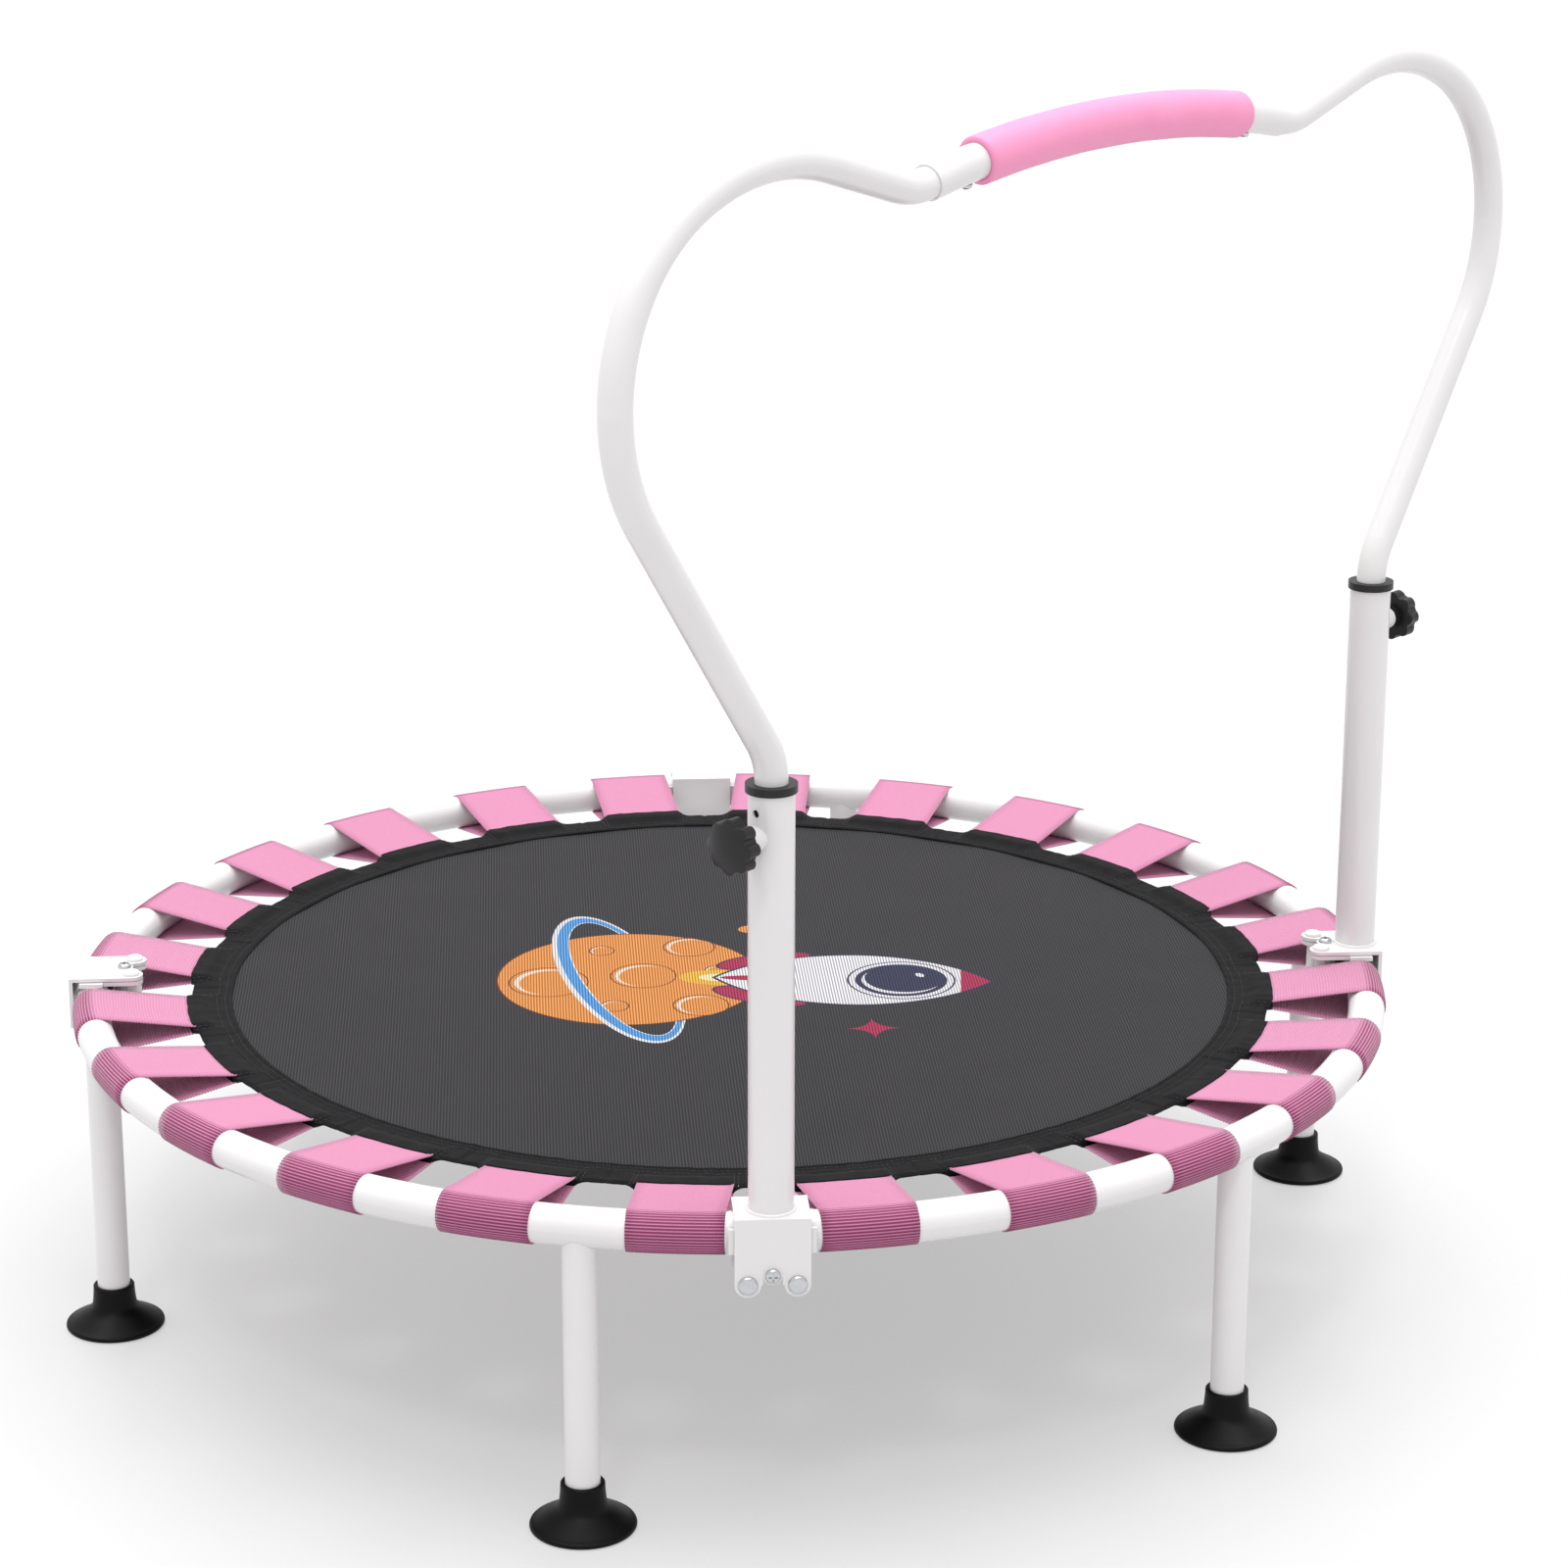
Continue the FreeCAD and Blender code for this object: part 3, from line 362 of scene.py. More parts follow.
def strap_pull(angle):
    """1 at the middle of a strap and -1 half way between two straps."""
    return math.cos((angle - FIRST_STRAP) / STRAP_PITCH * math.tau)


mat_points, mat_flat = [], []
for s in mat_rows:
    half_chord = math.sqrt(MAT_EDGE ** 2 - s ** 2)
    for t in np.sin(np.linspace(-math.pi / 2, math.pi / 2, MAT_COLUMNS)) * half_chord:
        x = t * math.cos(FOLD_AZIMUTH) - s * math.sin(FOLD_AZIMUTH)
        y = t * math.sin(FOLD_AZIMUTH) + s * math.cos(FOLD_AZIMUTH)
        near_edge = max(0.0, (math.hypot(x, y) - RIPPLE_FROM) / RIPPLE_REACH) ** 2
        ripple = EDGE_RIPPLE * near_edge * strap_pull(math.atan2(y, x))
        ripple += SLACK_RIPPLE * noise.noise((x * SLACK_PER_METRE, y * SLACK_PER_METRE, 0))
        mat_points.append((x, y, RING_HEIGHT + ripple))
        mat_flat.append((x + 0.5, y + 0.5))
mat_faces = []
for i in range(len(mat_rows) - 1):
    for j in range(MAT_COLUMNS - 1):
        near, far = i * MAT_COLUMNS + j, (i + 1) * MAT_COLUMNS + j
        mat_faces.append((near, near + 1, far + 1, far))
jumping_mat = mesh_piece("jumping_mat", mat_points, mat_faces, mat_flat)
apply_modifier(jumping_mat, "SOLIDIFY", thickness=MAT_THICKNESS, offset=0)
print("mat faces", len(jumping_mat.data.polygons))

# %% [markdown]
# ## Woven mat with its print
# Polypropylene tape yarn is charcoal with a dull plastic sheen. The ribs are 2 mm apart. The print is
# screen-printed ink on the ribs, and the gaps between them are painted darker through it, as painted shade.
# A printed image could be wrapped on the cloth, but flat inks are only shapes, so they are drawn with
# ellipses. Each is a Mapping node that moves, turns and scales the cloth's flat place so that the ellipse
# becomes the unit circle, and a test whether the length is under 1.
# %% Ink shapes
mat_cloth, tree = new_material("woven_polypropylene_mat")
uv = add_node(tree, "ShaderNodeUVMap", uv_map="flat")
centred = add_node(tree, "ShaderNodeVectorMath", {0: uv, 1: (0.5, 0.5, 0)}, operation="SUBTRACT")
# art is in millimetres, its X towards the front joint and its Y towards the right joint
art = add_node(tree, "ShaderNodeMapping", {
    "Vector": centred, "Rotation": (0, 0, math.radians(135)), "Scale": (1 / MM, 1 / MM, 1 / MM)})


def ellipse(place, x, y, half_x, half_y, turn=0.0):
    """1 inside an ellipse of the art and 0 outside; turn is in degrees."""
    local = add_node(tree, "ShaderNodeMapping", {
        "Vector": place, "Location": (x, y, 0), "Rotation": (0, 0, math.radians(turn)),
        "Scale": (half_x, half_y, 1)}, vector_type="TEXTURE")
    length = add_node(tree, "ShaderNodeVectorMath", {0: local}, operation="LENGTH")
    return add_node(tree, "ShaderNodeMath", {0: length, 1: 1.0}, operation="LESS_THAN")


def overlap(area, *others):
    """Inside all of the areas."""
    for other in others:
        area = add_node(tree, "ShaderNodeMath", {0: area, 1: other}, operation="MULTIPLY")
    return area


def without(area, *holes):
    """Inside the area but in none of the holes."""
    for hole in holes:
        area = add_node(tree, "ShaderNodeMath", {0: area, 1: hole}, operation="SUBTRACT", use_clamp=True)
    return area


print("ink helpers ready")

# %% [markdown]
# The print shows a cratered planet with a slanted ring and a toy rocket that lifts off it. The ring
# passes behind the planet, so the whole ring is drawn first, then the planet, then the ring's near half.
# %% The planet
ORANGE, INK_BROWN, PALE_ORANGE = "#DE8F44", "#5F2A16", "#E9D9CC"
SKY, INK_WHITE, NAVY, CRIMSON = "#4E97D8", "#DCDCE0", "#262B4C", "#A81E4E"
PLANET_X, PLANET_Y, PLANET_RADIUS = -3.5, -71.5, 94.0
OUTLINE = 1.4
RING_X, RING_Y, RING_HALF_LENGTH, RING_HALF_WIDTH, RING_TURN = -6, -80, 134, 38, 11
# each crater's place from the planet's middle, and its radius
CRATERS = [(5, -57, 30), (-58, -18, 10), (-62, 45, 20), (-4, 10, 25), (-12, 62, 9),
           (56, -12, 11), (58, 48, 21)]
CRATER_SQUASH = 0.94


def ring_ellipse(inset_x, inset_y, shift=0):
    """The planet's ring drawn smaller by two insets, with its middle moved along its short side."""
    return ellipse(art, RING_X, RING_Y + shift, RING_HALF_LENGTH - inset_x, RING_HALF_WIDTH - inset_y,
                   RING_TURN)


ring_edge = without(ring_ellipse(0, 0), ring_ellipse(15, 10, 3))
ring_blue = without(ring_ellipse(4, 3, 1), ring_ellipse(14, 9, 3))
planet = ellipse(art, PLANET_X, PLANET_Y, PLANET_RADIUS, PLANET_RADIUS)
inner = PLANET_RADIUS - OUTLINE
inks = [(ring_edge, INK_WHITE), (ring_blue, SKY), (planet, INK_BROWN),
        (ellipse(art, PLANET_X, PLANET_Y, inner, inner), ORANGE)]
for right, up, radius in CRATERS:
    x, y, height = PLANET_X + right, PLANET_Y + up, radius * CRATER_SQUASH
    outline = overlap(ellipse(art, x, y, radius, height), planet)
    bowl = overlap(ellipse(art, x, y, radius - 0.9, height - 0.9), planet)
    glint = without(ellipse(art, x, y, radius * 0.86, radius * 0.8),
                    ellipse(art, x + radius * 0.06, y + radius * 0.12, radius * 0.84, radius * 0.8))
    inks += [(outline, INK_BROWN), (bowl, ORANGE), (overlap(glint, planet), PALE_ORANGE)]
near_side = add_node(tree, "ShaderNodeMapping", {
    "Vector": art, "Location": (PLANET_X, PLANET_Y + 3, 0), "Rotation": (0, 0, math.radians(RING_TURN))},
    vector_type="TEXTURE")
near_axes = add_node(tree, "ShaderNodeSeparateXYZ", {0: near_side})
near_half = add_node(tree, "ShaderNodeMath", {0: near_axes.outputs["Y"], 1: 0.0}, operation="LESS_THAN")
inks += [(overlap(ring_edge, near_half), INK_WHITE), (overlap(ring_blue, near_half), SKY)]
print("planet nodes", len(tree.nodes))

# %% [markdown]
# The rocket's hull is where two large circles overlap. Folding its X with an absolute value draws both
# sides from one circle, and the same fold gives it two matching fins.
# %% The rocket
FLAME, HOT_FLAME = "#E8B23A", "#F2E4B4"
ROCKET_X, ROCKET_Y, ROCKET_TURN = 9.0, 84.0, -6.0
WINDOW_Y = 36
NOSE_FROM, NOSE_TO = 78, 200
WAIST_FROM, WAIST_TO = -52, -45
STAR_X, STAR_Y, STAR_SIZE = 107, 92, 20
rocket_place = add_node(tree, "ShaderNodeMapping", {
    "Vector": art, "Location": (ROCKET_X, ROCKET_Y, 0), "Rotation": (0, 0, math.radians(ROCKET_TURN))},
    vector_type="TEXTURE")
axes = add_node(tree, "ShaderNodeSeparateXYZ", {0: rocket_place})
folded_x = add_node(tree, "ShaderNodeMath", {0: axes.outputs["X"]}, operation="ABSOLUTE")
folded = add_node(tree, "ShaderNodeCombineXYZ", {"X": folded_x, "Y": axes.outputs["Y"]})


def hull(half_width, half_height, middle):
    """A pointed hull: the overlap of two circles that stand apart along X."""
    radius = (half_width ** 2 + half_height ** 2) / (2 * half_width)
    return ellipse(folded, half_width - radius, middle, radius, radius)


def band_across(low, high):
    """The band across the rocket between two heights."""
    over = add_node(tree, "ShaderNodeMath", {0: axes.outputs["Y"], 1: low}, operation="GREATER_THAN")
    under = add_node(tree, "ShaderNodeMath", {0: axes.outputs["Y"], 1: high}, operation="LESS_THAN")
    return overlap(over, under)


shell = hull(50, 97, 2)
window_glint = without(ellipse(rocket_place, 0, WINDOW_Y, 28, 28),
                       ellipse(rocket_place, -3.8, WINDOW_Y + 2, 28, 28))
# The star is a disc with a bite of the same size taken out at each of its four corners.
bites = [ellipse(art, STAR_X + right, STAR_Y + up, STAR_SIZE, STAR_SIZE)
         for right in (-STAR_SIZE, STAR_SIZE) for up in (-STAR_SIZE, STAR_SIZE)]
star = without(ellipse(art, STAR_X, STAR_Y, STAR_SIZE, STAR_SIZE), *bites)
inks += [
    (ellipse(folded, 0, -94, 15, 27), FLAME),
    (ellipse(folded, 0, -88, 8, 19), HOT_FLAME),
    (ellipse(folded, 36, -62, 15, 37, -24), NAVY),
    (ellipse(folded, 36, -62, 13.4, 35, -24), CRIMSON),
    (hull(52, 100, 2), NAVY),
    (shell, INK_WHITE),
    (overlap(shell, band_across(NOSE_FROM, NOSE_TO)), CRIMSON),
    (overlap(shell, band_across(WAIST_FROM, WAIST_TO)), SKY),
    (ellipse(folded, 0, -66, 5, 26), CRIMSON),
    (ellipse(folded, 0, WINDOW_Y, 38.4, 38.4), NAVY),
    (ellipse(folded, 0, WINDOW_Y, 37, 37), INK_WHITE),
    (ellipse(folded, 0, WINDOW_Y, 32.5, 32.5), NAVY),
    (window_glint, INK_WHITE),
    (ellipse(rocket_place, -11, 49, 4.4, 2.8, 30), INK_WHITE),
    (ellipse(art, -102, 22, 8.5, 11), ORANGE),
    (star, CRIMSON)]
print("inks", len(inks))

# %% Lay the inks in their order
# picture is the colour of the print so far, and cover is 1 wherever any ink lies
picture, cover = from_hex(INK_WHITE), 0.0
for area, ink in inks:
    picture = add_node(tree, "ShaderNodeMix", {
        "Factor": area, "A": picture, "B": from_hex(ink)}, data_type="RGBA")
    cover = add_node(tree, "ShaderNodeMath", {0: cover, 1: area}, operation="MAXIMUM")
print("print nodes", len(tree.nodes))

# %% [markdown]
# The ribs' gaps are painted darker, as painted shade, and a weft thread crosses them every 1.4 mm. The
# same wave is the bump, so light catches each rib. Slow noise keeps the charcoal from looking painted.
# %% Weave under the ink
RIB_PITCH_MM = 2.0
WEFT_PITCH_MM = 1.4
WEFT_SHARE = 0.3
WAVE_TOP = 1 + WEFT_SHARE
threads = add_node(tree, "ShaderNodeSeparateXYZ", {0: art})
rib_angle = add_node(tree, "ShaderNodeMath", {
    0: threads.outputs["Y"], 1: math.tau / RIB_PITCH_MM}, operation="MULTIPLY")
rib = add_node(tree, "ShaderNodeMath", {0: rib_angle}, operation="COSINE")
weft_angle = add_node(tree, "ShaderNodeMath", {
    0: threads.outputs["X"], 1: math.tau / WEFT_PITCH_MM}, operation="MULTIPLY")
weft = add_node(tree, "ShaderNodeMath", {0: weft_angle}, operation="SINE")
crossing = add_node(tree, "ShaderNodeMath", {0: weft, 1: WEFT_SHARE, 2: rib}, operation="MULTIPLY_ADD")
weave = add_node(tree, "ShaderNodeMapRange", {
    "Value": crossing, "From Min": -WAVE_TOP, "From Max": WAVE_TOP})
_, charcoal = mottle(tree, art, 38.0, "#28262A", "#302E33", 4.0)
# painted shade: the threads go near black in the rib gaps, and the ink is darkened there too
threads_with_gap_shade = add_node(tree, "ShaderNodeMix", {
    "Factor": weave, "A": from_hex("#0B0A0D"), "B": charcoal}, data_type="RGBA")
ink_gap_shade = add_node(tree, "ShaderNodeMix", {
    "Factor": weave, "A": from_hex("#70696A"), "B": (1, 1, 1, 1)}, data_type="RGBA")
ink_colour = add_node(tree, "ShaderNodeMix", {
    "Factor": 1.0, "A": picture, "B": ink_gap_shade}, data_type="RGBA", blend_type="MULTIPLY")
colour = add_node(tree, "ShaderNodeMix", {
    "Factor": cover, "A": threads_with_gap_shade, "B": ink_colour}, data_type="RGBA")
dullness = add_node(tree, "ShaderNodeMapRange", {"Value": weave, "To Min": 0.75, "To Max": 0.52})
end_material(tree, colour, weave, 0.25 * MM, {
    "Roughness": dullness, "IOR": 1.49, "Specular IOR Level": 0.2, "Sheen Weight": 0.02,
    "Sheen Roughness": 0.4})
jumping_mat.data.materials.append(mat_cloth)
print("mat material nodes", len(tree.nodes))

# %% [markdown]
# ## The hem
# A doubled nylon tape is sewn round the mat. Each strap end has a pocket in it with a short steel rod, so
# the tape is thick and pushed out there, and flat, drawn in and creased between two pockets. Sculpting
# would do; here one function gives its outline and one its height, for the tape and for its stitches.
# %% Shape of the hem
HEM_INNER = HEM_RADIUS - HEM_WIDTH
POCKET_HALF = 31 * MM
FLAT_HALF_THICKNESS = 1.5 * MM
POCKET_HALF_THICKNESS = 4.1 * MM
DRAWN_IN = 3.4 * MM
EDGE_SLACK = 0.6 * MM
EDGE_WAVER = 0.5 * MM
PIPING_HEIGHT = 0.9 * MM
PUCKER = 0.42 * MM
FINE_PUCKER = 0.2 * MM
CREASE_DEPTH = 0.7 * MM
CREASE_WIDTH = 1.3 * MM
SEAM_DEPTH = 0.35 * MM
HEM_SPOKES = 960
HEM_ACROSS = [0, 0.02, 0.06, 0.1, 0.14, 0.22, 0.32, 0.42, 0.52, 0.6, 0.67, 0.74, 0.81, 0.87, 0.92,
              0.96, 0.985, 1.0]


def smooth_step(edge0, edge1, value):
    """0 below the first edge and 1 above the second, with a soft step between."""
    t = min(1.0, max(0.0, (value - edge0) / (edge1 - edge0)))
    return t * t * (3 - 2 * t)


def ridge(value, middle, width):
    """A soft ridge, 1 high at its middle."""
    return math.exp(-((value - middle) / width) ** 2)


def from_strap(angle):
    """How far along the hem the nearest strap's middle is."""
    turns = ((angle - FIRST_STRAP) / STRAP_PITCH + 0.5) % 1 - 0.5
    return abs(turns * STRAP_PITCH * HEM_RADIUS)


def hem_edge(angle):
    """The hem's outer radius, pushed out over the pockets."""
    drawn_in = smooth_step(POCKET_HALF, POCKET_HALF + 7 * MM, from_strap(angle))
    waver = noise.noise((angle * 31, 0, 4))
    return HEM_RADIUS - EDGE_SLACK - DRAWN_IN * drawn_in + EDGE_WAVER * waver


def hem_half(across, angle):
    """Half the hem's thickness at a share of its width, 0 at the mat and 1 outside."""
    away = from_strap(angle)
    pocket = 1 - smooth_step(POCKET_HALF - 3 * MM, POCKET_HALF + 3.5 * MM, away)
    swell = (POCKET_HALF_THICKNESS - FLAT_HALF_THICKNESS) * pocket * smooth_step(0.4, 0.72, across)
    piping = PIPING_HEIGHT * ridge(across, 0.05, 0.028)
    pucker = PUCKER * noise.noise((angle * 42, across * 2.2, 1))
    pucker += FINE_PUCKER * noise.noise((angle * 170, across * 3, 2))
    between = STRAP_PITCH / 2 * HEM_RADIUS
    crease = CREASE_DEPTH * ridge(away, between, CREASE_WIDTH) * smooth_step(0.1, 0.2, across)
    seam = SEAM_DEPTH * ridge(across, 0.3, 0.02)
    closing = 1 - (1 - pocket) * smooth_step(0.9, 1.0, across) * 0.75
    return (FLAT_HALF_THICKNESS + swell + piping + pucker - crease - seam) * closing


print("hem from", round(HEM_INNER / MM), "to", round(HEM_RADIUS / MM), "mm")

# %% Loft the hem
hem_rings, hem_flat = [], []
for k in range(HEM_SPOKES):
    angle = k * math.tau / HEM_SPOKES
    outer = hem_edge(angle)
    top, bottom = [], []
    for across in HEM_ACROSS:
        r = HEM_INNER + (outer - HEM_INNER) * across
        half = hem_half(across, angle)
        top.append((r * math.cos(angle), r * math.sin(angle), RING_HEIGHT + half))
        bottom.append((r * math.cos(angle), r * math.sin(angle), RING_HEIGHT - half))
    hem_rings.append(top + bottom[::-1])
    # the tape's flat place runs over the top and on under the bottom, a little past the outer edge
    shares = HEM_ACROSS + [2.2 - across for across in HEM_ACROSS[::-1]]
    hem_flat += [(angle * HEM_RADIUS, share * HEM_WIDTH) for share in shares]
hem_points = [point for ring in hem_rings for point in ring]
mat_hem = mesh_piece("mat_hem", hem_points, closed_loft(hem_rings), hem_flat)
print("hem faces", len(mat_hem.data.polygons), "box height", round(mat_hem.dimensions.z / MM, 2), "mm")

# %% [markdown]
# The tape is woven nylon, finer than the mat: threads half a millimetre apart in a plain weave, with a
# soft sheen where it is pulled over the rods. At this scale the weave is only a bump and a small change
# of grey: its hollows are painted darker, as painted shade. It is drawn at 1 mm, because half a
# millimetre would not show.
# %% Hem tape
TAPE_THREAD = 1.0 * MM
hem_tape, tree = new_material("woven_black_nylon_tape")
uv = add_node(tree, "ShaderNodeUVMap", uv_map="flat")
uv_axes = add_node(tree, "ShaderNodeSeparateXYZ", {0: uv})
waves = []
for axis in ("X", "Y"):
    turns = add_node(tree, "ShaderNodeMath", {
        0: uv_axes.outputs[axis], 1: math.tau / TAPE_THREAD}, operation="MULTIPLY")
    waves.append(add_node(tree, "ShaderNodeMath", {0: turns}, operation="SINE"))
plain_weave = add_node(tree, "ShaderNodeMath", {0: waves[0], 1: waves[1]}, operation="MULTIPLY")
tape_height = add_node(tree, "ShaderNodeMapRange", {
    "Value": plain_weave, "From Min": -1.0, "From Max": 1.0})
rubbed, black = mottle(tree, uv, 11 * MM, "#0B0B0D", "#161519", 3.0)
# painted shade: the weave's hollows are darker than its threads
colour = add_node(tree, "ShaderNodeMix", {
    "Factor": tape_height, "A": from_hex("#050506"), "B": black}, data_type="RGBA")
rough = add_node(tree, "ShaderNodeMapRange", {"Value": rubbed, "To Min": 0.52, "To Max": 0.72})
end_material(tree, colour, tape_height, 0.12 * MM, {
    "Roughness": rough, "IOR": 1.5, "Specular IOR Level": 0.08, "Sheen Weight": 0.02,
    "Sheen Roughness": 0.45})
mat_hem.data.materials.append(hem_tape)
print(hem_tape.name)

# %% [markdown]
# ## Stitches
# Two rows of lock stitch run round the hem and two short rows cross it at each pocket's ends. A stitch is
# one small capsule, repeated along every seam, which is work for Geometry Nodes: the seams are thin
# curves drawn just above the tape, resampled to the stitch pitch, and a capsule is set along each step.
# %% Seam lines on the hem
STITCH_PITCH = 3.6 * MM
STITCH_LENGTH = 2.7 * MM
STITCH_RADIUS = 0.28 * MM
STITCH_PROUD = 0.35
ROUND_SEAMS = (0.16, 0.34)
ROUND_SEAM_STEPS = 900
CROSS_SEAM_INSETS = (0.5 * MM, 3.2 * MM)
CROSS_SEAM_FROM, CROSS_SEAM_TO = 0.36, 0.94
CROSS_SEAM_STEPS = 24


def line_piece(name, lines):
    """A curve object made of straight steps; lines holds points and whether they close."""
    curve = bpy.data.curves.new(name, "CURVE")
    curve.dimensions = "3D"
    for points, closed in lines:
        spline = curve.splines.new("POLY")
        spline.points.add(len(points) - 1)
        spline.points.foreach_set("co", [c for point in points for c in (*point, 1.0)])
        spline.use_cyclic_u = closed
    piece = bpy.data.objects.new(name, curve)
    bpy.context.scene.collection.objects.link(piece)
    return piece


def on_hem(across, angle):
    """A point where a stitch's middle lies, just proud of the tape."""
    r = HEM_INNER + (hem_edge(angle) - HEM_INNER) * across
    lift = hem_half(across, angle) + STITCH_RADIUS * STITCH_PROUD
    return (r * math.cos(angle), r * math.sin(angle), RING_HEIGHT + lift)


seams = []
for across in ROUND_SEAMS:
    seams.append(([on_hem(across, k * math.tau / ROUND_SEAM_STEPS) for k in range(ROUND_SEAM_STEPS)], True))
cross_shares = [CROSS_SEAM_FROM + (CROSS_SEAM_TO - CROSS_SEAM_FROM) * i / CROSS_SEAM_STEPS
                for i in range(CROSS_SEAM_STEPS + 1)]
for strap in range(STRAP_COUNT):
    middle = FIRST_STRAP + strap * STRAP_PITCH
    for side in (-1, 1):
        for inset in CROSS_SEAM_INSETS:
            angle = middle + side * (POCKET_HALF + inset) / HEM_RADIUS
            seams.append(([on_hem(across, angle) for across in cross_shares], False))
seam_lines = line_piece("hem_seams", seams)
print("seams", len(seams))


# %% Geometry Nodes helpers
def start_nodes(name, sizes):
    """A Geometry Nodes tree with named inputs, and the sockets of its Group Input node."""
    tree = bpy.data.node_groups.new(name, "GeometryNodeTree")
    tree.interface.new_socket("Geometry", in_out="INPUT", socket_type="NodeSocketGeometry")
    for label, value in sizes.items():
        kind = "NodeSocketInt" if isinstance(value, int) else "NodeSocketFloat"
        socket = tree.interface.new_socket(label, in_out="INPUT", socket_type=kind)
        socket.default_value = value
    tree.interface.new_socket("Material", in_out="INPUT", socket_type="NodeSocketMaterial")
    tree.interface.new_socket("Geometry", in_out="OUTPUT", socket_type="NodeSocketGeometry")
    return tree, add_node(tree, "NodeGroupInput").outputs


def end_nodes(tree, shape, material_socket):
    """Finish the tree: real geometry in place of instances, with its material."""
    real = add_node(tree, "GeometryNodeRealizeInstances", {"Geometry": shape})
    painted = add_node(tree, "GeometryNodeSetMaterial", {"Geometry": real, "Material": material_socket})
    add_node(tree, "NodeGroupOutput", {"Geometry": painted})


def run_nodes(source, tree, values, name):
    """Run a tree on a source object and keep the result as one plain mesh piece."""
    modifier = source.modifiers.new(tree.name, "NODES")
    modifier.node_group = tree
    for item in tree.interface.items_tree:
        if item.in_out == "INPUT" and item.name in values:
            modifier[item.identifier] = values[item.name]
    graph = bpy.context.evaluated_depsgraph_get()
    mesh = bpy.data.meshes.new_from_object(source.evaluated_get(graph), depsgraph=graph)
    source.modifiers.clear()
    mesh.name = name
    piece = bpy.data.objects.new(name, mesh)
    bpy.context.scene.collection.objects.link(piece)
    return piece


print("tree helpers ready")

# %% [markdown]
# The thread is bonded nylon, a shade lighter than the tape because its twist catches light. The twist is a
# slanted stripe half a millimetre apart, too fine to show, so it is drawn a few times as coarse.
# %% Thread
thread, tree = new_material("bonded_nylon_thread")
place = add_node(tree, "ShaderNodeTexCoord").outputs["Object"]
twist = add_node(tree, "ShaderNodeTexWave", {
    "Vector": place, "Scale": 1 / (2 * MM)}, bands_direction="DIAGONAL").outputs["Fac"]
colour = add_node(tree, "ShaderNodeMix", {
    "Factor": twist, "A": from_hex("#101012"), "B": from_hex("#26262A")}, data_type="RGBA")
end_material(tree, colour, twist, 0.05 * MM, {"Roughness": 0.5})
print(thread.name)

# %% Stitch the hem
STITCH_SIZES = {"Pitch": STITCH_PITCH, "Length": STITCH_LENGTH, "Radius": STITCH_RADIUS}
tree, given = start_nodes("stitches_along_seams", STITCH_SIZES)
steps = add_node(tree, "GeometryNodeResampleCurve", {
    "Curve": given["Geometry"], "Length": given["Pitch"]}, mode="LENGTH")
dots = add_node(tree, "GeometryNodeCurveToPoints", {"Curve": steps}, mode="EVALUATED")
ball = add_node(tree, "GeometryNodeMeshIcoSphere", {"Radius": 1.0, "Subdivisions": 1})
long_half = add_node(tree, "ShaderNodeMath", {0: given["Length"], 1: 0.5}, operation="MULTIPLY")
stretch = add_node(tree, "ShaderNodeCombineXYZ", {
    "X": given["Radius"], "Y": given["Radius"], "Z": long_half})
capsule = add_node(tree, "GeometryNodeTransform", {"Geometry": ball, "Scale": stretch})
row = add_node(tree, "GeometryNodeInstanceOnPoints", {
    "Points": dots, "Instance": capsule, "Rotation": dots.outputs["Rotation"]})
end_nodes(tree, row, given["Material"])
hem_stitches = run_nodes(seam_lines, tree, dict(STITCH_SIZES, Material=thread), "hem_stitches")
bpy.data.objects.remove(seam_lines)
print("stitch faces", len(hem_stitches.data.polygons))

# %% [markdown]
# ## Elastic straps
# Each strap is a loop of ribbed elastic webbing. It lies flat on the ring's outside, comes to the hem in
# two webs that meet at the rod, and its ribs lie along the ring. The loop is a rule, so Geometry Nodes
# draw it: a grid is laid along the loop's line, a wave lifts it into ribs, its width is bent to the ring's
# curve, and it is repeated round the ring with a small random turn from a fixed seed.
# %% The line of one loop
WEB_GAP = 0.25 * MM
RING_LOOP_RADIUS = RING_TUBE_RADIUS + WEB_GAP
ROD_LOOP_RADIUS = ROD_RADIUS + WEB_GAP
RIB_PITCH = 2.0 * MM
RING_ARC_STEPS, ROD_ARC_STEPS = 72, 14
STRAP_FLARE = math.asin((RING_LOOP_RADIUS - ROD_LOOP_RADIUS) / (RING_RADIUS - ROD_CIRCLE))
TOP_ANGLE = math.pi / 2 + STRAP_FLARE


def arc_points(centre_x, radius, start, end, count):
    """Points on an arc that stands upright at a distance from the ring's middle."""
    return [(centre_x + radius * math.cos(a), 0, RING_HEIGHT + radius * math.sin(a))
            for a in np.linspace(start, end, count)]


loop_points = arc_points(RING_RADIUS, RING_LOOP_RADIUS, TOP_ANGLE, -TOP_ANGLE, RING_ARC_STEPS)
loop_points += arc_points(ROD_CIRCLE, ROD_LOOP_RADIUS, math.tau - TOP_ANGLE, TOP_ANGLE, ROD_ARC_STEPS)
strap_line = line_piece("strap_loop", [(loop_points, True)])
loop_length = strap_line.data.splines[0].calc_length()
RIBS = round(loop_length / RIB_PITCH)
RING_SHARE = 2 * TOP_ANGLE * RING_LOOP_RADIUS / loop_length
print("loop", round(loop_length / MM, 1), "mm,", RIBS, "ribs")
